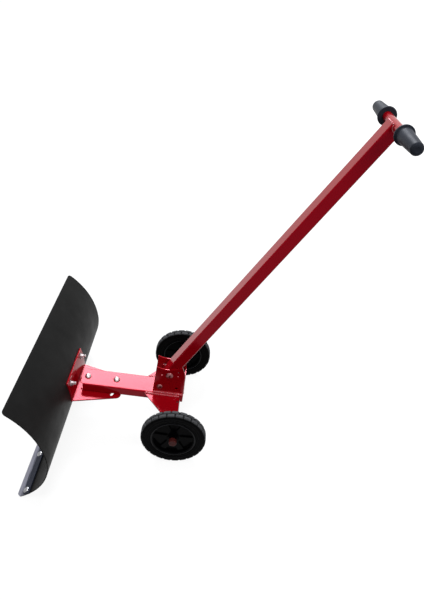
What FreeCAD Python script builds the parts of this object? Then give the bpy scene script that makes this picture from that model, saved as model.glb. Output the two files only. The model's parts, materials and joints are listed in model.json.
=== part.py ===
"""Wheeled snow pusher: a curved blade on a wheeled boom, steered by a rectangular handle with a T-bar.

The row frame is in millimetres: X points from the blade to the handle, Y across the machine and Z up.
The origin is on the ground, midway between the cutting edge and the rearmost point of the grips.
"""
import FreeCAD, Part
import Sketcher
import math
import os

Vector = FreeCAD.Vector
doc = FreeCAD.newDocument("snow_pusher")

# ---------------------------------------------------------------- driving dimensions

SIZES = {
    # wheels and axle
    "wheel_radius": (100, "tyre radius"),
    "wheel_track": (398, "distance between the wheel centres"),
    "tyre_width": (28, "overall width of a tyre"),
    "tyre_tread_width": (20, "width of the flat part of the tread"),
    "tyre_shoulder": (6, "height of the bevelled shoulder"),
    "lug_count": (24, "tread lugs on each side of a tyre"),
    "lug_depth": (4, "depth of the grooves between lugs"),
    "lug_groove": (5, "width of a groove between lugs"),
    "tread_rib": (2, "width of the unbroken rib in the middle of the tread"),
    "rim_radius": (71, "radius on which the tyre sits"),
    "rim_ring": (9, "radial thickness of the rim's outer ring"),
    "rim_width": (24, "width of the rim's outer ring"),
    "web_thickness": (12, "thickness of the rim's web at its spokes"),
    "web_membrane": (3, "thickness of the web between its spokes"),
    "spoke_count": (6, "spokes raised on each side of the web"),
    "spoke_width": (15, "width of a spoke"),
    "spoke_turn": (21, "turn of the spokes about the axle, degrees"),
    "hub_radius": (18, "outer radius of the wheel hub"),
    "hub_length": (26, "length of the wheel hub"),
    "bush_wall": (3, "wall of the plain bearing bush"),
    "axle_radius": (8, "radius of the axle rod"),
    "axle_washer_radius": (14, "radius of the washers beside the hubs"),
    "axle_washer_thickness": (1.6, "thickness of the washers beside the hubs"),
    "spacer_wall": (3, "wall of the axle's spacer tubes"),
    "cap_radius": (12, "radius of the caps on the axle ends"),
    "cap_length": (14, "length of the caps on the axle ends"),
    "cap_wall": (2, "wall of the caps on the axle ends"),
    # boom
    "boom_slope": (9.4, "rise of the boom towards the blade, degrees"),
    "boom_width": (76, "width of the boom tube"),
    "boom_height": (30, "height of the boom tube"),
    "boom_wall": (3, "wall of the boom tube"),
    "boom_corner": (4, "outer radius of the boom tube's long corners"),
    "boom_rise": (17, "top of the boom above the axle line"),
    "boom_tail": (16, "boom behind the axle"),
    "boom_nose": (18, "boom in front of the blade pivot"),
    "nose_chamfer": (10, "chamfer on the boom's front corners"),
    # axle carrier wings
    "wing_thickness": (4, "plate of the carrier wings"),
    "wing_fold": (3, "outer radius of the fold along a wing"),
    "wing_step": (4, "top of a wing below the boom's top"),
    "wing_span": (115, "outer face of a wing from the middle"),
    "wing_root": (113, "wing's front end at the boom, ahead of the axle"),
    "wing_tip": (52, "wing's front end at its outer edge, ahead of the axle"),
    "wing_tail": (6, "wing's rear edge behind the axle"),
    "ear_reach": (17, "ear's edge from the axle line"),
    "wing_hole_radius": (4, "hole through a wing above the axle"),
    "wing_hole_place": (63, "that hole's distance from the middle"),
    # blade
    "blade_width": (697, "width of the blade"),
    "blade_sheet": (3, "thickness of the blade's sheet"),
    "blade_height": (352, "top edge of the blade above the ground"),
    "blade_gap": (32, "blade pivot to the blade's rearmost line"),
    "belly_height": (165, "height of that rearmost line"),
    "upper_bend": (252, "outer bend radius above that line"),
    "lower_bend": (174, "outer bend radius below that line"),
    "blade_corner": (12, "radius on the blade's corners"),
    "edge_width": (45, "width of the cutting edge along the bend"),
    "edge_thickness": (4, "thickness of the cutting edge"),
    "edge_bolt_rise": (29, "cutting edge bolts above the lower edge, along the bend"),
    "edge_bolt_inset": (14, "outer cutting edge bolts from the blade's ends"),
    "edge_bolt_count": (6, "bolts along the cutting edge"),
    # blade bracket
    "plate_thickness": (5, "plate of the blade bracket"),
    "bracket_width": (178, "width of the blade bracket's flange"),
    "flange_top": (213, "top of the flange above the ground"),
    "sector_tail": (116, "rear edge of the sector plate behind the pivot"),
    "sector_tail_width": (98, "width of the sector plate at its rear edge"),
    "sector_corner": (18, "radius on the sector plate's rear corners"),
    "mount_bolt_height": (196, "flange bolts above the ground"),
    "mount_bolt_spacing": (134, "distance between the flange bolts"),
    "yaw_pivot_place": (305, "blade pivot ahead of the axle"),
    "yaw_lock_radius": (95, "lock bolt from the blade pivot"),
    "yaw_swing": (26, "swing of the blade to each side, degrees"),
    # handle bracket
    "cheek_spread": (59, "width over the two cheeks"),
    "cheek_plate": (4, "plate of the handle bracket"),
    "cheek_fold": (5, "outer radius of the folds between cheeks and web"),
    "cheek_foot": (86, "cheek's front edge ahead of the axle, at the boom"),
    "cheek_front": (81, "cheek's front corner ahead of the axle, at the top"),
    "cheek_front_height": (105, "that corner above the boom"),
    "cheek_rear": (2, "cheek's rear corner behind the axle, at the top"),
    "cheek_rear_height": (113, "that corner above the boom"),
    "cheek_saddle": (82, "radius of the dished top edge"),
    "cheek_back": (140, "radius of the bulging rear edge above the web"),
    "web_height": (68, "height of the rear web above the boom"),
    "pivot_place": (37, "handle pivot ahead of the axle"),
    "pivot_height": (73, "handle pivot above the boom"),
    "handle_lean": (62, "handle's angle to the boom in use, degrees"),
    "handle_fold": (56, "forward swing to the second lock hole, degrees"),
    "lock_radius": (59, "lock bolt from the handle pivot"),
    "stop_hole_radius": (3.25, "spare holes beside the pivot"),
    "stop_hole_front": (24, "front spare hole from the pivot"),
    "stop_hole_rear": (30, "rear spare holes from the pivot"),
    "stop_hole_rise": (18, "upper rear spare hole above the lower one"),
    # handle
    "handle_length": (986, "handle pivot to the crossbar's centre"),
    "handle_width": (48, "handle tube across the machine"),
    "handle_depth": (35.5, "handle tube from front to back"),
    "handle_wall": (2, "wall of the handle tube"),
    "handle_corner": (4, "outer radius of the handle tube's long corners"),
    "handle_foot": (69, "handle tube below its pivot"),
    "handle_cope": (1, "handle tube's end below the crossbar's centre"),
    "sleeve_wall": (3, "wall of the pivot sleeve"),
    "crossbar_radius": (12.5, "outer radius of the crossbar"),
    "crossbar_wall": (2, "wall of the crossbar"),
    "crossbar_length": (330, "length of the crossbar"),
    "grip_length": (109.5, "length of a grip"),
    "grip_cover": (22, "grip's tip beyond the crossbar's end"),
    "grip_flange_radius": (24.8, "radius of a grip's flange"),
    "grip_flange": (7, "thickness of a grip's flange"),
    "grip_root_radius": (19.5, "grip's radius beside its flange"),
    "grip_tip_radius": (15.5, "grip's radius at its tip"),
    "grip_tip_round": (9, "rounding of the grip's tip"),
    # fasteners
    "m_eight_radius": (4, "shank radius of the eight-millimetre bolts"),
    "m_eight_head": (10, "head radius of the eight-millimetre bolts"),
    "m_eight_dome": (4.6, "head height of the eight-millimetre bolts"),
    "round_head": (11, "radius of the tall round heads on top of the boom"),
    "round_dome": (9.5, "height of the tall round heads on top of the boom"),
    "m_eight_flats": (13, "nut across flats, eight-millimetre thread"),
    "m_eight_nut": (6.5, "nut height, eight-millimetre thread"),
    "thin_nut": (4.5, "height of the thin nuts under the cutting edge"),
    "m_ten_radius": (5, "shank radius of the ten-millimetre bolt"),
    "m_ten_head": (12, "head radius of the ten-millimetre bolt"),
    "m_ten_dome": (5.6, "head height of the ten-millimetre bolt"),
    "m_ten_flats": (16, "nut across flats, ten-millimetre thread"),
    "m_ten_nut": (8, "nut height, ten-millimetre thread"),
    "washer_radius": (10, "outer radius of the flat washers"),
    "washer_thickness": (1.6, "thickness of the flat washers"),
    "thread_end": (3, "thread standing out of a nut"),
    "mount_thread_end": (9, "thread standing out of the flange bolts' nuts"),
    "hole_gap": (0.25, "radial gap of a bolt in its hole"),
    "slot_gap": (0.5, "radial gap of a lock bolt in its slot"),
    "running_gap": (0.05, "radial gap of a shaft in its bearing"),
    "side_gap": (0.3, "gap between faces that move past each other"),
    "cut_over": (5, "how far a cut runs past the plate that it goes through"),
}

sheet = doc.addObject("Spreadsheet::Sheet", "Sizes")
for row, (alias, (number, meaning)) in enumerate(SIZES.items(), start=1):
    sheet.set("A%d" % row, meaning)
    sheet.set("B%d" % row, str(number))
    sheet.setAlias("B%d" % row, alias)
doc.recompute()


# ---------------------------------------------------------------- sizes as Python arithmetic

class Size:
    """A length or an angle: its number now, and the expression that ties it to the sheet."""

    def __init__(self, number, text):
        self.number = float(number)
        self.text = text

    def __add__(self, other):
        other = size(other)
        return Size(self.number + other.number, "(%s + %s)" % (self.text, other.text))

    def __sub__(self, other):
        other = size(other)
        return Size(self.number - other.number, "(%s - %s)" % (self.text, other.text))

    def __mul__(self, other):
        other = size(other)
        return Size(self.number * other.number, "%s * %s" % (self.text, other.text))

    def __truediv__(self, other):
        other = size(other)
        return Size(self.number / other.number, "%s / (%s)" % (self.text, other.text))

    def __rsub__(self, other):
        return size(other) - self

    def __rtruediv__(self, other):
        return size(other) / self

    def __neg__(self):
        return Size(-self.number, "(0 - %s)" % self.text)

    __radd__ = __add__
    __rmul__ = __mul__


def size(value):
    """A plain number as a Size; a Size stays as it is."""
    return value if isinstance(value, Size) else Size(value, "(%s)" % value)


def cell(alias):
    return Size(SIZES[alias][0], "Sizes.%s" % alias)


def cos_of(angle):
    angle = size(angle)
    return Size(math.cos(math.radians(angle.number)), "cos(%s * 1 deg)" % angle.text)


def sin_of(angle):
    angle = size(angle)
    return Size(math.sin(math.radians(angle.number)), "sin(%s * 1 deg)" % angle.text)


def asin_of(ratio):
    return Size(math.degrees(math.asin(ratio.number)), "asin(%s) / (1 deg)" % ratio.text)


def root_of(value):
    return Size(math.sqrt(value.number), "sqrt(%s)" % value.text)


def arc_angle(length, radius):
    """The angle, in degrees, of an arc of this length."""
    return length / radius * (180 / math.pi)


def bind(thing, prop, value):
    value = size(value)
    thing.setExpression(prop, value.text)


# ---------------------------------------------------------------- frames

class Frame:
    """A place and a turn about the machine's Y axis (or about X, for pieces built along Y)."""

    def __init__(self, x=0, y=0, z=0, angle=0, axis=(0, 1, 0)):
        self.x, self.y, self.z, self.angle = size(x), size(y), size(z), size(angle)
        self.axis = Vector(*axis)

    def point(self, along, up):
        """Row X and Z of a point given in this frame's own X and Z."""
        c, s = cos_of(self.angle), sin_of(self.angle)
        return self.x + along * c + up * s, self.z - along * s + up * c

    def place(self, thing):
        place = FreeCAD.Placement(Vector(self.x.number, self.y.number, self.z.number),
                                  FreeCAD.Rotation(self.axis, self.angle.number))
        thing.Placement = place
        bind(thing, "Placement.Base.x", self.x)
        bind(thing, "Placement.Base.y", self.y)
        bind(thing, "Placement.Base.z", self.z)
        if self.angle.number:
            bind(thing, "Placement.Rotation.Angle", self.angle * Size(1, "(1 deg)"))


def along_y(x, z, y=0):
    """A frame whose own Z axis points along the machine's -Y."""
    return Frame(x, y, z, 90, (1, 0, 0))


# ---------------------------------------------------------------- building blocks

nodes = {}


def keep(thing, label):
    """Names a finished sub-part; its label is the name of its file."""
    thing.Label = label
    nodes[label] = thing
    return thing


def new_body(name, frame):
    body = doc.addObject("PartDesign::Body", name)
    frame.place(body)
    return body


def new_sketch(body, plane, offset=0):
    """A sketch on one of the body's origin planes, moved along the plane's normal."""
    sketch = body.newObject("Sketcher::SketchObject", body.Name + "_sketch")
    origin_plane = [part for part in body.Origin.OriginFeatures if part.Role == plane][0]
    sketch.AttachmentSupport = [(origin_plane, "")]
    sketch.MapMode = "FlatFace"
    bind(sketch, "AttachmentOffset.Base.z", offset)
    return sketch


def turn_sketch(sketch, axis, angle):
    """Turns a sketch about one of its own axes."""
    angle = size(angle)
    turn = FreeCAD.Rotation(Vector(*axis), angle.number)
    sketch.AttachmentOffset = FreeCAD.Placement(Vector(0, 0, 0), turn)
    if angle.number:
        bind(sketch, "AttachmentOffset.Rotation.Angle", angle * Size(1, "(1 deg)"))


def tie(sketch, kind, first, first_end, second, second_end, value):
    """A horizontal or vertical distance, or a radius, bound to its size."""
    value = size(value)
    if kind == "Radius":
        index = sketch.addConstraint(Sketcher.Constraint("Radius", first, value.number))
    else:
        index = sketch.addConstraint(
            Sketcher.Constraint(kind, first, first_end, second, second_end, value.number))
    sketch.setExpression("Constraints[%d]" % index, value.text)


def centre_of(start, end, radius):
    """Centre of an arc of this radius from start to end, on the left of the way there."""
    run, rise = end[0] - start[0], end[1] - start[1]
    chord = root_of(run * run + rise * rise)
    lift = root_of(radius * radius - chord * chord / 4) / chord
    return (start[0] + end[0]) / 2 - rise * lift, (start[1] + end[1]) / 2 + run * lift


class Bend:
    """An arc that leaves a corner: its centre, its radius, and whether it runs anticlockwise."""

    def __init__(self, x, y, radius, anticlockwise):
        self.x, self.y, self.radius = size(x), size(y), size(radius)
        self.anticlockwise = anticlockwise


def draw_outline(sketch, corners):
    """A closed outline through corners (x, y) or (x, y, Bend), each corner tied to its sizes."""
    first = sketch.GeometryCount
    count = len(corners)
    starts, ends = [], []
    for i, corner in enumerate(corners):
        here = Vector(size(corner[0]).number, size(corner[1]).number, 0)
        after = corners[(i + 1) % count]
        there = Vector(size(after[0]).number, size(after[1]).number, 0)
        if len(corner) == 2:
            sketch.addGeometry(Part.LineSegment(here, there))
            forward = True
        else:
            bend = corner[2]
            centre = Vector(bend.x.number, bend.y.number, 0)
            circle = Part.Circle(centre, Vector(0, 0, 1), bend.radius.number)
            a = math.atan2(here.y - centre.y, here.x - centre.x)
            b = math.atan2(there.y - centre.y, there.x - centre.x)
            forward = bend.anticlockwise
            if not forward:
                a, b = b, a
            if b <= a:
                b += 2 * math.pi
            sketch.addGeometry(Part.ArcOfCircle(circle, a, b))
        starts.append(1 if forward else 2)
        ends.append(2 if forward else 1)
    for i in range(count):
        follower = (i + 1) % count
        sketch.addConstraint(Sketcher.Constraint(
            "Coincident", first + i, ends[i], first + follower, starts[follower]))
    for i, corner in enumerate(corners):
        tie(sketch, "DistanceX", -1, 1, first + i, starts[i], corner[0])
        tie(sketch, "DistanceY", -1, 1, first + i, starts[i], corner[1])
        if len(corner) == 3:
            tie_bend(sketch, first + i, corner, corners[(i + 1) % count])


def tie_bend(sketch, index, corner, after):
    """Fixes an arc between two tied corners; a half circle by its centre, any other by its radius."""
    bend = corner[2]
    chord_x = size(after[0]).number - size(corner[0]).number
    chord_y = size(after[1]).number - size(corner[1]).number
    if math.hypot(chord_x, chord_y) < 1.99 * bend.radius.number:
        tie(sketch, "Radius", index, 0, 0, 0, bend.radius)
    elif abs(chord_x) < abs(chord_y):
        tie(sketch, "DistanceX", -1, 1, index, 3, bend.x)
    else:
        tie(sketch, "DistanceY", -1, 1, index, 3, bend.y)


def draw_circle(sketch, x, y, radius):
    x, y, radius = size(x), size(y), size(radius)
    index = sketch.addGeometry(
        Part.Circle(Vector(x.number, y.number, 0), Vector(0, 0, 1), radius.number))
    tie(sketch, "DistanceX", -1, 1, index, 3, x)
    tie(sketch, "DistanceY", -1, 1, index, 3, y)
    tie(sketch, "Radius", index, 0, 0, 0, radius)


def ring_slot(x, y, radius, half_width, from_angle, to_angle):
    """Corners of a slot with round ends whose middle follows an arc about x, y."""
    def at(distance, angle):
        return x + distance * cos_of(angle), y + distance * sin_of(angle)
    outer, inner = radius + half_width, radius - half_width
    end_x, end_y = at(radius, to_angle)
    start_x, start_y = at(radius, from_angle)
    return [
        (*at(outer, from_angle), Bend(x, y, outer, True)),
        (*at(outer, to_angle), Bend(end_x, end_y, half_width, True)),
        (*at(inner, to_angle), Bend(x, y, inner, False)),
        (*at(inner, from_angle), Bend(start_x, start_y, half_width, True)),
    ]


def draw_rounded_box(sketch, half_width, half_height, radius):
    """A rectangle about the sketch's origin with round corners."""
    w, t, r = half_width, half_height, radius
    draw_outline(sketch, [
        (r - w, -t), (w - r, -t, Bend(w - r, r - t, r, True)),
        (w, r - t), (w, t - r, Bend(w - r, t - r, r, True)),
        (w - r, t), (r - w, t, Bend(r - w, t - r, r, True)),
        (-w, t - r), (-w, r - t, Bend(r - w, r - t, r, True)),
    ])


def pad(body, sketch, length, symmetric=False):
    feature = body.newObject("PartDesign::Pad", body.Name + "_pad")
    feature.Profile = sketch
    feature.SideType = "Symmetric" if symmetric else "One side"
    bind(feature, "Length", length)
    sketch.Visibility = False
    return feature


def pocket(body, sketch):
    """Cuts the sketch through the whole body, both ways."""
    feature = body.newObject("PartDesign::Pocket", body.Name + "_pocket")
    feature.Profile = sketch
    feature.SideType = "Symmetric"
    feature.Type = "ThroughAll"
    sketch.Visibility = False
    return feature


def revolve(body, sketch):
    """Turns a half section, drawn with its radius along the sketch's X, about the sketch's Y."""
    feature = body.newObject("PartDesign::Revolution", body.Name + "_turn")
    feature.Profile = sketch
    feature.ReferenceAxis = (sketch, ["V_Axis"])
    feature.Angle = 360
    sketch.Visibility = False
    return feature


def round_edges(body, radius, chosen):
    """A fillet on the edges of the body's tip that the test picks out."""
    doc.recompute()
    tip = body.Tip
    names = ["Edge%d" % (i + 1) for i, edge in enumerate(tip.Shape.Edges) if chosen(edge)]
    feature = body.newObject("PartDesign::Fillet", body.Name + "_fillet")
    feature.Base = (tip, names)
    bind(feature, "Radius", radius)
    return feature


def same(first, second):
    """Whether two plain numbers are the same place or length."""
    return math.isclose(first, second, abs_tol=0.01)


def runs_along_x(edge, y, *heights):
    """Whether a straight edge runs along X at this distance from the middle and one of these heights."""
    middle, box = edge.CenterOfMass, edge.BoundBox
    across = max(box.YLength, box.ZLength)
    level = any(same(middle.z, height.number) for height in heights)
    return same(across, 0) and same(abs(middle.y), y.number) and level


def row_pattern(body, feature, length, count):
    """Copies a feature along the body's Y axis."""
    pattern = body.newObject("PartDesign::LinearPattern", body.Name + "_row")
    pattern.Originals = [feature]
    axis = [part for part in body.Origin.OriginFeatures if part.Role == "Y_Axis"][0]
    pattern.Direction = (axis, [""])
    bind(pattern, "Length", length)
    bind(pattern, "Occurrences", count)
    body.Tip = pattern
    return pattern


def round_pattern(body, feature, count):
    """Copies a feature around the body's Z axis."""
    pattern = body.newObject("PartDesign::PolarPattern", body.Name + "_round")
    pattern.Originals = [feature]
    axis = [part for part in body.Origin.OriginFeatures if part.Role == "Z_Axis"][0]
    pattern.Axis = (axis, [""])
    pattern.Angle = 360
    bind(pattern, "Occurrences", count)
    body.Tip = pattern
    return pattern


def cylinder(name, frame, radius, start, length):
    """A cylinder along the frame's Z axis, from start on."""
    rod = doc.addObject("PartDesign::Body", name)
    sketch = new_sketch(rod, "XY_Plane", start)
    draw_circle(sketch, 0, 0, radius)
    pad(rod, sketch, length)
    frame.place(rod)
    return rod


def tube(name, frame, outer, inner, start, length):
    """A round tube or washer along the frame's Z axis, from start on."""
    ring = doc.addObject("PartDesign::Body", name)
    sketch = new_sketch(ring, "XY_Plane", start)
    draw_circle(sketch, 0, 0, outer)
    draw_circle(sketch, 0, 0, inner)
    pad(ring, sketch, length)
    frame.place(ring)
    return ring


def dome_bolt(name, frame, radius, head, dome, seat, length):
    """A bolt with a domed head above its seat and its shank below, along the frame's Z axis."""
    body = new_body(name, frame)
    sketch = new_sketch(body, "XZ_Plane")
    ball = (head * head + dome * dome) / (2 * dome)
    seat = size(seat)
    draw_outline(sketch, [
        (0, seat - length),
        (radius, seat - length),
        (radius, seat),
        (head, seat, Bend(0, seat + dome - ball, ball, True)),
        (0, seat + dome),
    ])
    return body, revolve(body, sketch)


def hex_nut(name, frame, flats, height, bore, start):
    """A hexagon nut along the frame's Z axis, from start on."""
    body = new_body(name, frame)
    sketch = new_sketch(body, "XY_Plane", start)
    corner = flats / 2 / cos_of(30)
    draw_outline(sketch, [(corner * cos_of(60 * i), corner * sin_of(60 * i)) for i in range(6)])
    draw_circle(sketch, 0, 0, bore)
    return body, pad(body, sketch, height)


def cut(name, base, tools):
    """The base with every tool taken out of it."""
    if len(tools) == 1:
        tool = tools[0]
    else:
        tool = doc.addObject("Part::Compound", name + "_tools")
        tool.Links = tools
    result = doc.addObject("Part::Cut", name)
    result.Base = base
    result.Tool = tool
    return result


def mirrored(name, source):
    """The same piece on the other side of the machine."""
    copy = doc.addObject("Part::Mirroring", name)
    copy.Source = source
    copy.Normal = Vector(0, 1, 0)
    copy.Base = Vector(0, 0, 0)
    return copy


def both_sides(name, source):
    """One node with the piece and its mirror copy."""
    pair = doc.addObject("Part::Compound", name)
    pair.Links = [source, mirrored(name + "_twin", source)]
    return pair


# ---------------------------------------------------------------- the layout

slope = cell("boom_slope")
boom_top = cell("boom_rise")
boom_bottom = boom_top - cell("boom_height")
handle_angle = cell("handle_lean") - slope

# the blade's profile, measured from the axle in X and from the ground in Z
belly_x = -cell("yaw_pivot_place") - cell("blade_gap")
belly_z = cell("belly_height")
upper_x = belly_x - cell("upper_bend")
lower_x = belly_x - cell("lower_bend")
top_angle = asin_of((cell("blade_height") - belly_z) / cell("upper_bend"))
foot_angle = asin_of(belly_z / cell("lower_bend"))
edge_inner = cell("lower_bend") - cell("blade_sheet") - cell("edge_thickness")

# the handle's pivot and crossbar, measured from the axle
tilted = Frame(0, 0, cell("wheel_radius"), slope)
pivot_dx, pivot_z = tilted.point(-cell("pivot_place"), boom_top + cell("pivot_height"))
crossbar_dx = pivot_dx + cell("handle_length") * cos_of(handle_angle)
crossbar_z = pivot_z + cell("handle_length") * sin_of(handle_angle)

# the origin is midway between the foremost and the rearmost point
foremost = lower_x + edge_inner * cos_of(foot_angle)
rearmost = crossbar_dx + cell("grip_flange_radius")
axle_x = -(foremost + rearmost) / 2

BOOM = Frame(axle_x, 0, cell("wheel_radius"), slope)
BLADE = Frame(axle_x, 0, 0)
AXLE = along_y(axle_x, cell("wheel_radius"))
HANDLE = Frame(axle_x + pivot_dx, 0, pivot_z, -handle_angle)
CROSSBAR = along_y(axle_x + crossbar_dx, crossbar_z)


def on_boom(along, up=0):
    """A frame on the boom's own axes, moved along and up."""
    x, z = BOOM.point(size(along), size(up))
    return Frame(x, 0, z, slope)


def across_boom(along, up):
    """A frame along the machine's -Y, at a point given on the boom's axes."""
    x, z = BOOM.point(size(along), size(up))
    return along_y(x, z)


def on_blade(centre_x, angle, y=0):
    """A frame at a bend's centre whose own -Z axis points outwards through the blade."""
    return Frame(axle_x + centre_x, y, belly_z, -90 - angle)


YAW_PIVOT = on_boom(-cell("yaw_pivot_place"))
YAW_LOCK = on_boom(cell("yaw_lock_radius") - cell("yaw_pivot_place"))
HANDLE_PIVOT = along_y(axle_x + pivot_dx, pivot_z)
lock_place = -cell("pivot_place") - cell("lock_radius") * cos_of(cell("handle_lean"))
lock_height = boom_top + cell("pivot_height") - cell("lock_radius") * sin_of(cell("handle_lean"))
HANDLE_LOCK = across_boom(lock_place, lock_height)
folded_lean = cell("handle_lean") + cell("handle_fold")
spare_place = -cell("pivot_place") - cell("lock_radius") * cos_of(folded_lean)
spare_height = boom_top + cell("pivot_height") - cell("lock_radius") * sin_of(folded_lean)

shank = cell("m_eight_radius")
hole = shank + cell("hole_gap")
washer = cell("washer_thickness")
side_gap = cell("side_gap")


# ---------------------------------------------------------------- boom and axle carrier

def make_boom():
    """A flat rectangular tube, open at both ends, with its front corners taken off."""
    body = new_body("boom_body", BOOM)
    half = cell("boom_width") / 2
    front = -cell("yaw_pivot_place") - cell("boom_nose")
    chamfer = cell("nose_chamfer")
    plan = new_sketch(body, "XY_Plane", boom_bottom)
    draw_outline(plan, [
        (cell("boom_tail"), -half),
        (cell("boom_tail"), half),
        (front + chamfer, half),
        (front, half - chamfer),
        (front, chamfer - half),
        (front + chamfer, -half),
    ])
    pad(body, plan, cell("boom_height"))
    round_edges(body, cell("boom_corner"), lambda edge: runs_along_x(edge, half, boom_top, boom_bottom))
    bore = new_sketch(body, "YZ_Plane")
    inner = half - cell("boom_wall")
    low = boom_bottom + cell("boom_wall")
    high = boom_top - cell("boom_wall")
    draw_outline(bore, [(-inner, low), (inner, low), (inner, high), (-inner, high)])
    pocket(body, bore)
    over = cell("cut_over")
    reach = half + over
    low, drilled = boom_bottom - over, cell("boom_height") + 2 * over
    tools = [
        cylinder("boom_axle_hole", AXLE, cell("axle_radius"), -reach, 2 * reach),
        cylinder("boom_pivot_hole", YAW_PIVOT, hole, low, drilled),
        cylinder("boom_lock_hole", YAW_LOCK, hole, low, drilled),
    ]
    keep(cut("boom", body, tools), "boom")


def make_wing():
    """A tapering plate beside the boom, folded down at its outer end into an ear for the axle."""
    plate = cell("wing_thickness")
    top = boom_top - cell("wing_step")
    span = cell("wing_span")
    tail = cell("wing_tail")
    body = new_body("wing_body", BOOM)
    plan = new_sketch(body, "XY_Plane", top - plate)
    draw_outline(plan, [
        (tail, cell("boom_width") / 2),
        (tail, span),
        (-cell("wing_tip"), span),
        (-cell("wing_root"), cell("boom_width") / 2),
    ])
    draw_circle(plan, 0, cell("wing_hole_place"), cell("wing_hole_radius"))
    pad(body, plan, plate)
    ear = new_sketch(body, "XZ_Plane", -span)
    reach = cell("ear_reach")
    draw_outline(ear, [
        (tail, top),
        (-cell("wing_tip"), top),
        (-cell("wing_tip"), top - 3 * plate),
        (-reach, -reach * 0.7),
        (reach * 0.7, -reach * 0.7),
        (reach, -reach * 0.2),
        (reach, reach * 0.3),
    ])
    pad(body, ear, plate)
    round_edges(body, cell("wing_fold"), lambda edge: runs_along_x(edge, span, top))
    hole_tool = cylinder("wing_axle_hole", AXLE, cell("axle_radius"), -span - cell("cut_over"), span)
    left = keep(cut("wing_left", body, [hole_tool]), "carrier_wing_left")
    keep(mirrored("wing_right", left), "carrier_wing_right")


def make_axle():
    """One rod through both wheels, with spacer tubes, washers and push-on caps."""
    middle = cell("wheel_track") / 2
    hub = cell("hub_length") / 2
    thickness = cell("axle_washer_thickness")
    rod = cell("axle_radius")
    outer_washer = middle + hub + side_gap
    cap_start = outer_washer + thickness
    rod_end = cap_start + cell("cap_length") - cell("cap_wall")
    keep(cylinder("axle", AXLE, rod, -rod_end, 2 * rod_end), "axle")
    inner_washer = middle - hub - side_gap - thickness
    spacer = tube("spacer_one", AXLE, rod + cell("spacer_wall"), rod,
                  cell("wing_span"), inner_washer - cell("wing_span"))
    keep(both_sides("axle_spacers", spacer), "axle_spacers")
    washer_radius = cell("axle_washer_radius")
    inner = tube("inner_washer_one", AXLE, washer_radius, rod, inner_washer, thickness)
    outer = tube("outer_washer_one", AXLE, washer_radius, rod, outer_washer, thickness)
    keep(both_sides("inner_washers", inner), "inner_hub_washers")
    keep(both_sides("outer_washers", outer), "outer_hub_washers")
    cap = new_body("cap_one", AXLE)
    section = new_sketch(cap, "XZ_Plane")
    radius, length, wall = cell("cap_radius"), cell("cap_length"), cell("cap_wall")
    draw_outline(section, [
        (rod, cap_start),
        (radius, cap_start),
        (radius, cap_start + length - wall, Bend(radius - wall, cap_start + length - wall, wall, True)),
        (radius - wall, cap_start + length),
        (0, cap_start + length),
        (0, rod_end),
        (rod, rod_end),
    ])
    revolve(cap, section)
    keep(cap, "axle_cap_right")
    keep(mirrored("cap_left", cap), "axle_cap_left")


# ---------------------------------------------------------------- wheels

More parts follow.
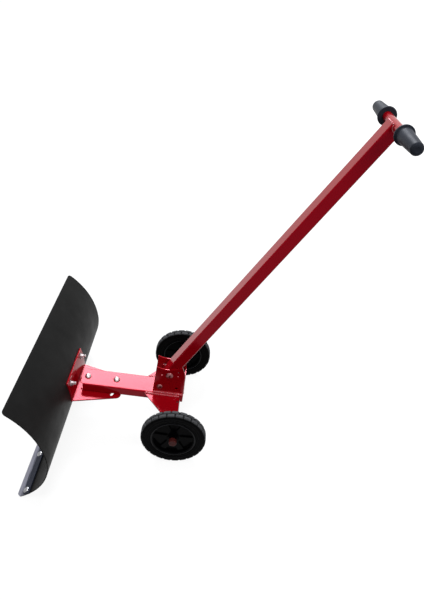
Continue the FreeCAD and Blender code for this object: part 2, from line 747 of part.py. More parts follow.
def make_wheels():
    middle = cell("wheel_track") / 2
    bore = cell("axle_radius") + cell("running_gap")
    bush_radius = bore + cell("bush_wall")
    wheel = along_y(axle_x, cell("wheel_radius"), -middle)

    tyre = new_body("tyre_body", wheel)
    section = new_sketch(tyre, "XZ_Plane")
    seat = cell("rim_width") / 2
    side = cell("tyre_width") / 2
    tread = cell("tyre_tread_width") / 2
    top = cell("wheel_radius")
    shoulder = top - cell("tyre_shoulder")
    bead = cell("rim_radius")
    draw_outline(section, [
        (bead, -seat), (bead + cell("rim_ring"), -side), (shoulder, -side), (top, -tread),
        (top, tread), (shoulder, side), (bead + cell("rim_ring"), side), (bead, seat),
    ])
    revolve(tyre, section)
    low = top - cell("lug_depth")
    high = top + cell("cut_over")
    for sign, turn in ((1, 0), (-1, 180 / cell("lug_count"))):
        groove = new_sketch(tyre, "XZ_Plane")
        turn_sketch(groove, (0, 1, 0), turn)
        inside = cell("tread_rib") / 2 * sign
        outside = (side + cell("cut_over")) * sign
        draw_outline(groove, [(low, inside), (high, inside), (high, outside), (low, outside)])
        feature = tyre.newObject("PartDesign::Pocket", "tyre_groove")
        feature.Profile = groove
        feature.SideType = "Symmetric"
        bind(feature, "Length", cell("lug_groove"))
        groove.Visibility = False
        round_pattern(tyre, feature, cell("lug_count"))
    right_tyre = keep(tyre, "tyre_right")
    keep(mirrored("tyre_left", right_tyre), "tyre_left")

    rim = new_body("rim_body", wheel)
    section = new_sketch(rim, "XZ_Plane")
    web = cell("web_thickness") / 2
    hub_radius = cell("hub_radius")
    hub = cell("hub_length") / 2
    ring = bead - cell("rim_ring")
    draw_outline(section, [
        (bush_radius, -hub), (hub_radius, -hub), (hub_radius, -web), (ring, -web), (ring, -seat),
        (bead, -seat), (bead, seat), (ring, seat), (ring, web), (hub_radius, web),
        (hub_radius, hub), (bush_radius, hub),
    ])
    revolve(rim, section)
    near = hub_radius + cell("rim_ring") / 2
    far = ring - cell("rim_ring") / 3
    half_turn = 180 / cell("spoke_count")
    half_spoke = cell("spoke_width") / 2

    def recess_half(radius):
        """Half the chord between two spokes at this radius."""
        return radius * sin_of(half_turn) - half_spoke
    for sign in (1, -1):
        recess = new_sketch(rim, "XY_Plane", web * sign)
        turn_sketch(recess, (0, 0, 1), cell("spoke_turn"))
        draw_outline(recess, [
            (near, -recess_half(near)), (far, -recess_half(far)),
            (far, recess_half(far)), (near, recess_half(near)),
        ])
        feature = rim.newObject("PartDesign::Pocket", "rim_recess")
        feature.Profile = recess
        feature.SideType = "One side"
        feature.Reversed = sign < 0
        bind(feature, "Length", web - cell("web_membrane") / 2)
        recess.Visibility = False
        round_pattern(rim, feature, cell("spoke_count"))
    right_rim = keep(rim, "rim_right")
    keep(mirrored("rim_left", right_rim), "rim_left")

    bush = tube("bush_right", wheel, bush_radius, bore, -hub, 2 * hub)
    keep(bush, "hub_bush_right")
    keep(mirrored("bush_left", bush), "hub_bush_left")


# ---------------------------------------------------------------- blade

def blade_section(sheet_outer, thickness, low_angle, high_angle):
    """Corners of a strip that follows the blade's bend, between two angles about the bends."""
    upper = cell("upper_bend") + sheet_outer
    lower = cell("lower_bend") + sheet_outer

    def on_upper(radius, angle, bend=None):
        corner = (upper_x + radius * cos_of(angle), belly_z + radius * sin_of(angle))
        return corner + bend if bend else corner

    def on_lower(radius, angle, bend=None):
        corner = (lower_x + radius * cos_of(angle), belly_z - radius * sin_of(angle))
        return corner + bend if bend else corner
    inner_upper, inner_lower = upper - thickness, lower - thickness
    return [
        on_upper(upper, high_angle, (Bend(upper_x, belly_z, upper, False),)),
        (belly_x + sheet_outer, belly_z, Bend(lower_x, belly_z, lower, False)),
        on_lower(lower, low_angle),
        on_lower(inner_lower, low_angle, (Bend(lower_x, belly_z, inner_lower, True),)),
        (belly_x + sheet_outer - thickness, belly_z, Bend(upper_x, belly_z, inner_upper, True)),
        on_upper(inner_upper, high_angle),
    ]


def edge_bolt_row(name, radius, start, length):
    """Drills for the row of cutting edge bolts, pointing through the blade."""
    inset = cell("edge_bolt_inset")
    row_length = cell("blade_width") - 2 * inset
    body = new_body(name, edge_bolt_frame())
    sketch = new_sketch(body, "XY_Plane", start)
    draw_circle(sketch, 0, 0, radius)
    row_pattern(body, pad(body, sketch, length), row_length, cell("edge_bolt_count"))
    return body


def edge_bolt_frame():
    angle = foot_angle - arc_angle(cell("edge_bolt_rise"), cell("lower_bend"))
    first = cell("edge_bolt_inset") - cell("blade_width") / 2
    return on_blade(lower_x, -angle, first)


def mount_bolt_frame(y):
    angle = asin_of((cell("mount_bolt_height") - belly_z) / cell("upper_bend"))
    return on_blade(upper_x, angle, y)


def head_seat(radius):
    """How far from the bend's centre a flat bolt head rests in a hollow of this radius."""
    head = cell("m_eight_head")
    return root_of(radius * radius - head * head)


def make_blade():
    body = new_body("blade_body", BLADE)
    section = new_sketch(body, "XZ_Plane")
    sheet_thickness = cell("blade_sheet")
    draw_outline(section, blade_section(0, sheet_thickness, foot_angle, top_angle))
    pad(body, section, cell("blade_width"), symmetric=True)
    half = SIZES["blade_width"][0] / 2
    thin = SIZES["blade_sheet"][0]
    round_edges(body, cell("blade_corner"), lambda edge: (
        same(abs(edge.CenterOfMass.y), half) and same(edge.Length, thin)))
    over = cell("cut_over")
    outward = -cell("upper_bend") - over
    through = sheet_thickness + 2 * over
    spacing = cell("mount_bolt_spacing") / 2
    tools = [edge_bolt_row("sheet_edge_drill", hole, -cell("lower_bend") - over, through)]
    for sign, number in ((-1, "one"), (1, "two")):
        tools.append(cylinder("sheet_mount_drill_" + number, mount_bolt_frame(sign * spacing),
                              hole, outward, through))
    keep(cut("blade_cut", body, tools), "blade_sheet")


def make_cutting_edge():
    """A flat bar rolled to the blade's lower bend and bolted to its front."""
    body = new_body("edge_body", BLADE)
    outer = cell("lower_bend") - cell("blade_sheet")
    inner = edge_inner
    high_angle = foot_angle - arc_angle(cell("edge_width"), outer)
    section = new_sketch(body, "XZ_Plane")

    def on_bend(radius, angle):
        return lower_x + radius * cos_of(angle), belly_z - radius * sin_of(angle)
    draw_outline(section, [
        (*on_bend(outer, high_angle), Bend(lower_x, belly_z, outer, False)),
        on_bend(outer, foot_angle),
        (*on_bend(inner, foot_angle), Bend(lower_x, belly_z, inner, True)),
        on_bend(inner, high_angle),
    ])
    pad(body, section, cell("blade_width"), symmetric=True)
    foot_x = (cell("lower_bend") - belly_x).number
    half = SIZES["blade_width"][0] / 2
    round_edges(body, cell("blade_corner"), lambda edge: (
        same(abs(edge.CenterOfMass.y), half)
        and same(edge.Length, SIZES["edge_thickness"][0])
        and edge.CenterOfMass.z < SIZES["edge_thickness"][0] * 2
        and edge.CenterOfMass.x > -foot_x))
    over = cell("cut_over")
    drill = edge_bolt_row("edge_drill", hole, -outer - over, cell("edge_thickness") + 2 * over)
    keep(cut("edge_cut", body, [drill]), "cutting_edge")

    length = cell("edge_thickness") + cell("blade_sheet") + cell("thin_nut") + cell("hole_gap")
    bolt, turned = dome_bolt("edge_bolt", edge_bolt_frame(), shank, cell("m_eight_head"),
                             cell("m_eight_dome"), -head_seat(edge_inner), length)
    row_length = cell("blade_width") - 2 * cell("edge_bolt_inset")
    row_pattern(bolt, turned, row_length, cell("edge_bolt_count"))
    keep(bolt, "cutting_edge_bolts")
    nut, padded = hex_nut("edge_nut", edge_bolt_frame(), cell("m_eight_flats"), cell("thin_nut"),
                          shank, -cell("lower_bend") - cell("thin_nut"))
    row_pattern(nut, padded, row_length, cell("edge_bolt_count"))
    keep(nut, "cutting_edge_nuts")


# ---------------------------------------------------------------- blade bracket

def make_blade_bracket():
    """A flange that follows the blade's back, folded into the slotted sector plate."""
    thickness = cell("plate_thickness")
    plate_top = boom_bottom - side_gap

    def on_boom_axes(x, z):
        """A point given from the axle in X and from the ground in Z, on the boom's axes."""
        rise = z - cell("wheel_radius")
        return (x * cos_of(slope) - rise * sin_of(slope), x * sin_of(slope) + rise * cos_of(slope))

    # the sector plate's middle meets the flange's middle here
    fold_z = cell("wheel_radius") + (plate_top - belly_x * sin_of(slope)) / cos_of(slope)
    middle = cell("lower_bend") + thickness / 2
    fold_x = lower_x + root_of(middle * middle - (belly_z - fold_z) * (belly_z - fold_z))
    fold_along = on_boom_axes(fold_x, fold_z)[0]

    body = new_body("bracket_body", BOOM)
    flange = new_sketch(body, "XZ_Plane")
    low_angle = asin_of((belly_z - fold_z + thickness) / cell("lower_bend"))
    high_angle = asin_of((cell("flange_top") - belly_z) / cell("upper_bend"))
    corners = []
    for corner in blade_section(thickness, thickness, low_angle, high_angle):
        moved = on_boom_axes(corner[0], corner[1])
        if len(corner) == 3:
            bend = corner[2]
            moved += (Bend(*on_boom_axes(bend.x, bend.y), bend.radius, bend.anticlockwise),)
        corners.append(moved)
    draw_outline(flange, corners)
    pad(body, flange, cell("bracket_width"), symmetric=True)

    pivot = -cell("yaw_pivot_place")
    tail = pivot + cell("sector_tail")
    half_front = cell("bracket_width") / 2
    half_tail = cell("sector_tail_width") / 2
    plate = new_sketch(body, "XY_Plane", plate_top - thickness)
    draw_outline(plate, [
        (fold_along, -half_front), (tail, -half_tail), (tail, half_tail), (fold_along, half_front)])
    pad(body, plate, thickness)
    tail_number, half_number = tail.number, half_tail.number
    round_edges(body, cell("sector_corner"), lambda edge: (
        same(edge.CenterOfMass.x, tail_number) and same(abs(edge.CenterOfMass.y), half_number)))
    slot = new_sketch(body, "XY_Plane", plate_top)
    draw_outline(slot, ring_slot(pivot, size(0), cell("yaw_lock_radius"), shank + cell("slot_gap"),
                                 -cell("yaw_swing"), cell("yaw_swing")))
    feature = pocket(body, slot)
    feature.SideType = "One side"
    feature.Type = "Length"
    bind(feature, "Length", thickness + side_gap)
    over = cell("cut_over")
    through = thickness + 2 * over
    tools = [cylinder("bracket_pivot_drill", YAW_PIVOT, shank + cell("running_gap"),
                      plate_top - thickness - over, through)]
    spacing = cell("mount_bolt_spacing") / 2
    for sign, number in ((-1, "one"), (1, "two")):
        tools.append(cylinder("bracket_mount_drill_" + number, mount_bolt_frame(sign * spacing),
                              hole, -cell("upper_bend") - thickness - over, through))
    keep(cut("bracket_cut", body, tools), "blade_bracket")

    grip = cell("blade_sheet") + thickness + washer + cell("m_eight_nut") + cell("mount_thread_end")
    frame = mount_bolt_frame(spacing)
    bolt, _ = dome_bolt("mount_bolt", frame, shank, cell("m_eight_head"), cell("m_eight_dome"),
                        -head_seat(cell("upper_bend") - cell("blade_sheet")), grip)
    keep(both_sides("mount_bolts", bolt), "mount_bolts")
    behind = -cell("upper_bend") - thickness - washer
    ring = tube("mount_washer", frame, cell("washer_radius"), shank, behind, washer)
    keep(both_sides("mount_washers", ring), "mount_washers")
    nut, _ = hex_nut("mount_nut", frame, cell("m_eight_flats"), cell("m_eight_nut"), shank,
                     behind - cell("m_eight_nut"))
    keep(both_sides("mount_nuts", nut), "mount_nuts")


def make_yaw_bolts():
    """The blade's pivot bolt and its lock bolt, with their washers and nuts under the plate."""
    under = boom_bottom - 2 * side_gap - cell("plate_thickness") - washer
    length = boom_top - under + cell("m_eight_nut") + cell("thread_end")
    for name, frame in (("yaw_pivot", YAW_PIVOT), ("yaw_lock", YAW_LOCK)):
        bolt, _ = dome_bolt(name + "_bolt_body", frame, shank, cell("round_head"),
                            cell("round_dome"), boom_top, length)
        keep(bolt, name + "_bolt")
        keep(tube(name + "_washer_body", frame, cell("washer_radius"), shank, under, washer),
             name + "_washer")
        nut, _ = hex_nut(name + "_nut_body", frame, cell("m_eight_flats"), cell("m_eight_nut"),
                         shank, under - cell("m_eight_nut"))
        keep(nut, name + "_nut")


# ---------------------------------------------------------------- handle bracket

def make_handle_bracket():
    """Two cheeks and a rear web folded from one plate, standing on the boom."""
    body = new_body("cheeks_body", BOOM)
    plate = cell("cheek_plate")
    tail = cell("boom_tail")
    front_x, front_z = -cell("cheek_front"), boom_top + cell("cheek_front_height")
    rear_x, rear_z = cell("cheek_rear"), boom_top + cell("cheek_rear_height")
    web_top = boom_top + cell("web_height")
    # the dished top edge is an arc through both top corners, with its centre above them
    saddle = cell("cheek_saddle")
    centre_x, centre_z = centre_of((front_x, front_z), (rear_x, rear_z), saddle)
    # the rear edge bulges between the web and the rear corner, with its centre ahead of it
    back = cell("cheek_back")
    bulge = Bend(*centre_of((tail, web_top), (rear_x, rear_z), back), back, True)
    side = new_sketch(body, "XZ_Plane")
    draw_outline(side, [
        (-cell("cheek_foot"), boom_top),
        (tail, boom_top),
        (tail, web_top, bulge),
        (rear_x, rear_z, Bend(centre_x, centre_z, saddle, False)),
        (front_x, front_z),
    ])
    pad(body, side, cell("cheek_spread"), symmetric=True)
    corner_x = tail.number
    round_edges(body, cell("cheek_fold"), lambda edge: (
        same(edge.CenterOfMass.x, corner_x) and same(edge.BoundBox.YLength, 0)))
    inner = cell("cheek_spread") / 2 - plate
    gap = new_sketch(body, "XY_Plane", boom_top)
    over = cell("cut_over")
    front = -cell("cheek_foot") - over
    draw_outline(gap, [(front, -inner), (tail - plate, -inner), (tail - plate, inner), (front, inner)])
    pocket(body, gap)
    above = new_sketch(body, "XY_Plane", web_top)
    behind = tail + over
    draw_outline(above, [(front, -inner), (behind, -inner), (behind, inner), (front, inner)])
    feature = body.newObject("PartDesign::Pocket", "cheeks_opening")
    feature.Profile = above
    feature.Reversed = True
    feature.Type = "ThroughAll"
    reach = cell("cheek_spread") / 2 + over
    pivot_up = boom_top + cell("pivot_height")
    front_hole = -cell("pivot_place") - cell("stop_hole_front")
    rear_hole = -cell("pivot_place") + cell("stop_hole_rear")
    holes = [
        ("cheek_pivot_hole", HANDLE_PIVOT, cell("m_ten_radius") + cell("hole_gap")),
        ("cheek_lock_hole", HANDLE_LOCK, hole),
        ("cheek_spare_hole", across_boom(spare_place, spare_height), hole),
        ("cheek_front_hole", across_boom(front_hole, pivot_up), cell("stop_hole_radius")),
        ("cheek_rear_hole", across_boom(rear_hole, pivot_up), cell("stop_hole_radius")),
        ("cheek_upper_hole", across_boom(rear_hole, pivot_up + cell("stop_hole_rise")),
         cell("stop_hole_radius")),
    ]
    tools = [cylinder(name, frame, radius, -reach, 2 * reach) for name, frame, radius in holes]
    keep(cut("cheeks_cut", body, tools), "handle_bracket")


def make_handle_bolts():
    """The handle's pivot bolt and lock bolt across the cheeks, with washers and nuts."""
    half = cell("cheek_spread") / 2
    fasteners = (
        ("handle_pivot", HANDLE_PIVOT, "m_ten"),
        ("handle_lock", HANDLE_LOCK, "m_eight"),
    )
    for name, frame, thread in fasteners:
        radius = cell(thread + "_radius")
        nut_height = cell(thread + "_nut")
        length = 2 * half + washer + nut_height + cell("thread_end")
        bolt, _ = dome_bolt(name + "_bolt_body", frame, radius, cell(thread + "_head"),
                            cell(thread + "_dome"), half, length)
        keep(bolt, name + "_bolt")
        ring_radius = cell(thread + "_head")
        keep(tube(name + "_washer_body", frame, ring_radius, radius, -half - washer, washer),
             name + "_washer")
        nut, _ = hex_nut(name + "_nut_body", frame, cell(thread + "_flats"), nut_height, radius,
                         -half - washer - nut_height)
        keep(nut, name + "_nut")
    inner = half - cell("cheek_plate")
    tube_side = cell("handle_width") / 2
    spacer = tube("pivot_spacer", HANDLE_PIVOT, cell("m_ten_head"), cell("m_ten_radius"),
                  tube_side + side_gap, inner - tube_side - side_gap)
    keep(both_sides("pivot_spacers", spacer), "pivot_spacers")


# ---------------------------------------------------------------- handle

def make_handle():
    """A rectangular tube with its pivot sleeve, hooked over the lock bolt at its foot."""
    body = new_body("handle_body", HANDLE)
    half = cell("handle_width") / 2
    deep = cell("handle_depth") / 2
    wall = cell("handle_wall")
    foot = -cell("handle_foot")
    end = cell("handle_length") - cell("handle_cope")
    outside = new_sketch(body, "YZ_Plane", foot)
    corner = cell("handle_corner")
    draw_rounded_box(outside, half, deep, corner)
    draw_rounded_box(outside, half - wall, deep - wall, corner - wall)
    pad(body, outside, end - foot)
    sleeve_radius = cell("m_ten_radius") + cell("running_gap") + cell("sleeve_wall")
    notch = new_sketch(body, "XZ_Plane")
    width = shank + cell("slot_gap")
    radius = cell("lock_radius")
    outer, inner = radius + width, radius - width
    mouth = asin_of((deep + 2 * width) / inner)
    draw_outline(notch, [
        (-outer, 0, Bend(0, 0, outer, False)),
        (-outer * cos_of(mouth), outer * sin_of(mouth)),
        (-inner * cos_of(mouth), inner * sin_of(mouth), Bend(0, 0, inner, True)),
        (-inner, 0, Bend(-radius, 0, width, False)),
    ])
    pocket(body, notch)
    reach = half + cell("cut_over")
    tools = [
        cylinder("handle_sleeve_hole", HANDLE_PIVOT, sleeve_radius, -reach, 2 * reach),
        cylinder("handle_cope_cut", CROSSBAR, cell("crossbar_radius"), -reach, 2 * reach),
    ]
    keep(cut("handle_cut", body, tools), "handle_tube")
    bore = cell("m_ten_radius") + cell("running_gap")
    keep(tube("sleeve", HANDLE_PIVOT, sleeve_radius, bore, -half, 2 * half), "pivot_sleeve")
    bar = cell("crossbar_radius")
    bar_length = cell("crossbar_length")
    keep(tube("bar", CROSSBAR, bar, bar - cell("crossbar_wall"), -bar_length / 2, bar_length),
         "crossbar")


def make_grips():
    """Rubber grips with a hand flange, pushed over the crossbar's ends."""
    body = new_body("grip_body", CROSSBAR)
    bar = cell("crossbar_radius")
    bar_end = cell("crossbar_length") / 2
    end = bar_end + cell("grip_cover")
    start = end - cell("grip_length")
    flange_end = start + cell("grip_flange")
    tip = cell("grip_tip_radius")
    curl = cell("grip_tip_round")
    section = new_sketch(body, "XZ_Plane")
    draw_outline(section, [
        (bar, start),
        (cell("grip_flange_radius"), start),
        (cell("grip_flange_radius"), flange_end),
        (cell("grip_root_radius"), flange_end),
        (tip, end - curl, Bend(tip - curl, end - curl, curl, True)),
        (tip - curl, end),
        (0, end),
        (0, bar_end),
        (bar, bar_end),
    ])
    revolve(body, section)
    right = keep(body, "grip_right")
    keep(mirrored("grip_left", right), "grip_left")


# ---------------------------------------------------------------- build, check and export

def export_nodes():
    """Checks every object of the document and writes one file per sub-part."""
    doc.recompute()
    for thing in doc.Objects:
        if "Invalid" in thing.State or "Error" in thing.State:
            raise RuntimeError("%s did not recompute: %s" % (thing.Name, thing.State))
    os.makedirs("parts", exist_ok=True)
    for label, thing in nodes.items():
        shape = thing.Shape
        if shape.isNull() or not shape.isValid() or not shape.Solids:
            raise RuntimeError("%s has no valid shape" % label)
        shape.exportStep("parts/%s.step" % label)
        print("%-22s %d solid(s) %12.1f mm3" % (label, len(shape.Solids), shape.Volume))


make_boom()
make_wing()
make_axle()
make_wheels()
make_blade()
make_cutting_edge()
make_blade_bracket()
make_yaw_bolts()
make_handle_bracket()
make_handle_bolts()
make_handle()
make_grips()
export_nodes()
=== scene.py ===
"""The looks of the wheeled snow pusher: bevelled paintwork, rubber, welds, threads, light and camera.

Everything is in metres in the CAD's own frame: +X from the blade to the handle, +Y across, +Z up.
"""

import json
import math

import bmesh
import bpy
from mathutils import Matrix, Quaternion, Vector


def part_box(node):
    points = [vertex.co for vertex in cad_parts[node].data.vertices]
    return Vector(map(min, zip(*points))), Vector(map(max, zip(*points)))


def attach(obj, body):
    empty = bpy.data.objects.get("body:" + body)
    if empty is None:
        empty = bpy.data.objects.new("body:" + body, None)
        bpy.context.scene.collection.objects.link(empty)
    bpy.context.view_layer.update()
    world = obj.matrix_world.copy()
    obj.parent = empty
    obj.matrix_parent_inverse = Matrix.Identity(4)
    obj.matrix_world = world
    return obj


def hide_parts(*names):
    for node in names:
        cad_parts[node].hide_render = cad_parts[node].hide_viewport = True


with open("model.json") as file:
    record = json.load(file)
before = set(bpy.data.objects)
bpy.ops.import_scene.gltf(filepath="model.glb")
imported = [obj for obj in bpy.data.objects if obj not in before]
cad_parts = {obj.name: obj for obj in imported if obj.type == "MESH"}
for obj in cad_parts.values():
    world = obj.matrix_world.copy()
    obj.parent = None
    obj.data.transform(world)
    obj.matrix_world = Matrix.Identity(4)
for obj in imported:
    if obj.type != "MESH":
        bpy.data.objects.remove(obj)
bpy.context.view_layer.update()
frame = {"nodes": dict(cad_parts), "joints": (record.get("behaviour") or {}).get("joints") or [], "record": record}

MM = 0.001
SIDES = (("left", 1), ("right", -1))
NODES = frame["nodes"]
JOINTS = {joint["name"]: joint for joint in frame["joints"]}
SLOT_OF = {part["node"]: part["material_slot"] for part in frame["record"]["subparts"]}
BODY_OF = {
    node: body
    for body, members in frame["record"]["behaviour"]["bodies"].items()
    for node in members
}

# ---------------------------------------------------------------- places taken from the frame

UP = Vector(JOINTS["blade_yaw"]["axis"])
ACROSS = Vector((0, 1, 0))
ALONG = ACROSS.cross(UP)
HANDLE_PIVOT = Vector(JOINTS["handle_tilt"]["pos_m"])
WHEEL = {side: Vector(JOINTS["wheel_%s_spin" % side]["pos_m"]) for side, _ in SIDES}
AXLE = Vector((WHEEL["left"].x, 0, WHEEL["left"].z))
CROSSBAR = (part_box("crossbar")[0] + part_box("crossbar")[1]) / 2
HANDLE_WAY = Vector((CROSSBAR.x - HANDLE_PIVOT.x, 0, CROSSBAR.z - HANDLE_PIVOT.z)).normalized()
HANDLE_FRONT = Vector((-HANDLE_WAY.z, 0, HANDLE_WAY.x))

# ---------------------------------------------------------------- sizes that follow the CAD

BOOM_TOP = 17 * MM
BOOM_TAIL = 16 * MM
BOOM_HALF = 38 * MM
WING_STEP = 4 * MM
CHEEK_OUTSIDE = 29.5 * MM
TUBE_HALF_WIDTH, TUBE_HALF_DEPTH = 24.0 * MM, 17.75 * MM
BAR_RADIUS = 12.5 * MM
GRIP_START = 77.7 * MM
TYRE_RADIUS = 100 * MM
# radius, nut across flats, thread pitch
M_EIGHT = (4 * MM, 13 * MM, 1.25 * MM)
M_TEN = (5 * MM, 16 * MM, 1.5 * MM)


def on_boom(along, across, up):
    """A point on the boom's own axes, measured from the axle."""
    return AXLE + ALONG * along + ACROSS * across + UP * up


# ---------------------------------------------------------------- shader nodes

def new_material(name):
    material = bpy.data.materials.new(name)
    material.use_nodes = True
    tree = material.node_tree
    return material, tree, tree.nodes["Principled BSDF"]


def set_inputs(tree, node, **values):
    """Sets a node's sockets by name and its settings by attribute. A socket's value may be an output."""
    for key, value in values.items():
        name = key.replace("_", " ")
        if name not in node.inputs:
            setattr(node, key, value)
        elif isinstance(value, bpy.types.NodeSocket):
            tree.links.new(value, node.inputs[name])
        else:
            node.inputs[name].default_value = value


def add_node(tree, kind, **values):
    node = tree.nodes.new(kind)
    set_inputs(tree, node, **values)
    return node


def object_point(tree, scale=(1, 1, 1)):
    """Object coordinates in metres, stretched by the given scale."""
    source = add_node(tree, "ShaderNodeTexCoord")
    mapping = add_node(tree, "ShaderNodeMapping", Vector=source.outputs["Object"], Scale=scale)
    return mapping.outputs["Vector"]


def noise(tree, point, scale, detail, roughness):
    node = add_node(
        tree, "ShaderNodeTexNoise", Vector=point, Scale=scale, Detail=detail, Roughness=roughness)
    return node.outputs["Fac"]


def ramp(tree, value, *stops):
    """A colour ramp between two stops, each a position and a colour."""
    node = add_node(tree, "ShaderNodeValToRGB", Fac=value)
    for element, (position, colour) in zip(node.color_ramp.elements, stops):
        element.position = position
        element.color = (*colour, 1)
    return node.outputs["Color"]


def between(tree, value, start, end, low, high):
    """A value that runs from start to end, turned into one from low to high and held at both."""
    node = add_node(
        tree, "ShaderNodeMapRange",
        Value=value, From_Min=start, From_Max=end, To_Min=low, To_Max=high)
    return node.outputs["Result"]


def mixed(tree, share, first, second):
    """The colour between two colour outputs at a share of 0 to 1."""
    node = add_node(tree, "ShaderNodeMix", data_type="RGBA")
    # a Mix node has sockets of one name for each kind of data, so the colours go by number
    for number, output in ((0, share), (6, first), (7, second)):
        tree.links.new(output, node.inputs[number])
    return node.outputs[2]


def maths(tree, kind, operation, *operands):
    """The result of a Math or Vector Math node. Each operand is an output or a fixed value."""
    node = add_node(tree, kind, operation=operation)
    for socket, operand in zip(node.inputs, operands):
        if isinstance(operand, bpy.types.NodeSocket):
            tree.links.new(operand, socket)
        else:
            socket.default_value = operand
    return next(output for output in node.outputs if output.enabled)


def bump(tree, height, strength, distance):
    node = add_node(tree, "ShaderNodeBump", Height=height, Strength=strength, Distance=distance)
    return node.outputs["Normal"]


def grey(level):
    return (level, level, level)


def shade(colour, factor):
    return tuple(min(1.0, channel * factor) for channel in colour)


# ---------------------------------------------------------------- materials

def painted(name, colour, roughness, ior, tint, variation, peel_scale, peel_strength):
    """A sprayed coat: slight mottling, uneven gloss and a wavy orange-peel surface."""
    material, tree, shader = new_material(name)
    point = object_point(tree)
    mottle = noise(tree, point, scale=22.0, detail=4.0, roughness=0.55)
    haze = noise(tree, point, scale=9.0, detail=5.0, roughness=0.65)
    peel = noise(tree, point, peel_scale, detail=2.0, roughness=0.4)
    dark, light = shade(colour, 1 - variation), shade(colour, 1 + variation)
    set_inputs(
        tree, shader,
        Base_Color=ramp(tree, mottle, (0.30, dark), (0.72, light)),
        Roughness=ramp(tree, haze, (0.25, grey(roughness * 0.8)), (0.80, grey(roughness * 1.25))),
        Normal=bump(tree, peel, peel_strength, distance=0.4 * MM),
        IOR=ior, Specular_Tint=(*tint, 1))
    return material


def plated(name, colour, roughness):
    """Zinc plate: bright metal with faint cloudy patches and fine turning marks."""
    material, tree, shader = new_material(name)
    point = object_point(tree)
    cloud = noise(tree, point, scale=160.0, detail=4.0, roughness=0.6)
    fine = noise(tree, point, scale=900.0, detail=2.0, roughness=0.5)
    set_inputs(
        tree, shader,
        Base_Color=ramp(tree, cloud, (0.30, shade(colour, 0.82)), (0.70, shade(colour, 1.08))),
        Roughness=ramp(tree, fine, (0.30, grey(roughness * 0.8)), (0.75, grey(roughness * 1.3))),
        Normal=bump(tree, fine, strength=0.12, distance=0.2 * MM),
        Metallic=1.0)
    return material


def ground_steel(name, bright_to, dark_from):
    """The cutting edge: dark rolled steel above, ground bright where it scrapes, streaked lengthways.

    The two heights above the ground bound the band in which bright turns to dark.
    """
    material, tree, shader = new_material(name)
    stretched = object_point(tree, scale=(60, 3, 60))
    streaks = noise(tree, stretched, scale=8.0, detail=6.0, roughness=0.7)
    dark = ramp(tree, streaks, (0.25, (0.008, 0.010, 0.018)), (0.80, (0.018, 0.021, 0.034)))
    bright = ramp(tree, streaks, (0.20, (0.17, 0.17, 0.20)), (0.80, (0.33, 0.33, 0.38)))
    split = add_node(tree, "ShaderNodeSeparateXYZ", Vector=object_point(tree))
    scraped = between(tree, split.outputs["Z"], bright_to, dark_from, 1.0, 0.0)
    # the streaks at half strength, added to the even band, make its border ragged
    ragged = maths(tree, "ShaderNodeMath", "MULTIPLY_ADD", streaks, 0.5, scraped)
    ground = ramp(tree, ragged, (0.62, grey(0.0)), (0.80, grey(1.0)))
    set_inputs(
        tree, shader,
        Base_Color=mixed(tree, ground, dark, bright),
        Metallic=ground,
        Roughness=ramp(tree, ground, (0.0, grey(0.55)), (1.0, grey(0.33))),
        Normal=bump(tree, streaks, strength=0.25, distance=0.3 * MM),
        IOR=1.3, Specular_Tint=(0.45, 0.50, 0.70, 1))
    return material


def moulded(name, colour, roughness, ior, tint, grain_scale, grain_strength, variation=0.25):
    """Moulded rubber or plastic with a fine grain and slightly uneven gloss."""
    material, tree, shader = new_material(name)
    point = object_point(tree)
    cloud = noise(tree, point, scale=35.0, detail=5.0, roughness=0.6)
    grain = noise(tree, point, grain_scale, detail=3.0, roughness=0.6)
    dark, light = shade(colour, 1 - variation), shade(colour, 1 + variation)
    set_inputs(
        tree, shader,
        Base_Color=ramp(tree, cloud, (0.30, dark), (0.72, light)),
        Roughness=ramp(tree, cloud, (0.30, grey(roughness * 0.88)), (0.75, grey(roughness * 1.12))),
        Normal=bump(tree, grain, grain_strength, distance=0.3 * MM),
        IOR=ior, Specular_Tint=(*tint, 1))
    return material


def tyre_material(name, side, top, plain_side_to, sheen_and_scuff_from):
    """Tyre rubber: nearly black on its sides, lighter grey on the tread: partly scuffing, mostly a painted sheen
    of light on the lugs.

    The two radii bound the band in which the side's colour turns to the top's.
    """
    material = moulded(
        name, side, roughness=0.60, ior=1.12, tint=grey(0.05), grain_scale=700.0, grain_strength=0.08)
    tree = material.node_tree
    shader = tree.nodes["Principled BSDF"]
    side_colour = shader.inputs["Base Color"].links[0].from_socket
    point = object_point(tree)
    from_axle = maths(tree, "ShaderNodeVectorMath", "SUBTRACT", point, AXLE)
    in_plane = maths(tree, "ShaderNodeVectorMath", "MULTIPLY", from_axle, (1, 0, 1))
    radius = maths(tree, "ShaderNodeVectorMath", "LENGTH", in_plane)
    # the tread is lighter than the sides: partly scuffing, mostly a painted sheen of light falling on the lugs
    scuff_and_sheen = between(tree, radius, plain_side_to, sheen_and_scuff_from, 0.0, 0.8)
    specks = noise(tree, point, scale=140.0, detail=4.0, roughness=0.65)
    speckle = ramp(tree, specks, (0.25, grey(0.55)), (0.75, grey(1.0)))
    share = maths(tree, "ShaderNodeMath", "MULTIPLY", scuff_and_sheen, speckle)
    top_colour = add_node(tree, "ShaderNodeRGB").outputs["Color"]
    top_colour.default_value = (*top, 1)
    set_inputs(tree, shader, Base_Color=mixed(tree, share, side_colour, top_colour))
    return material


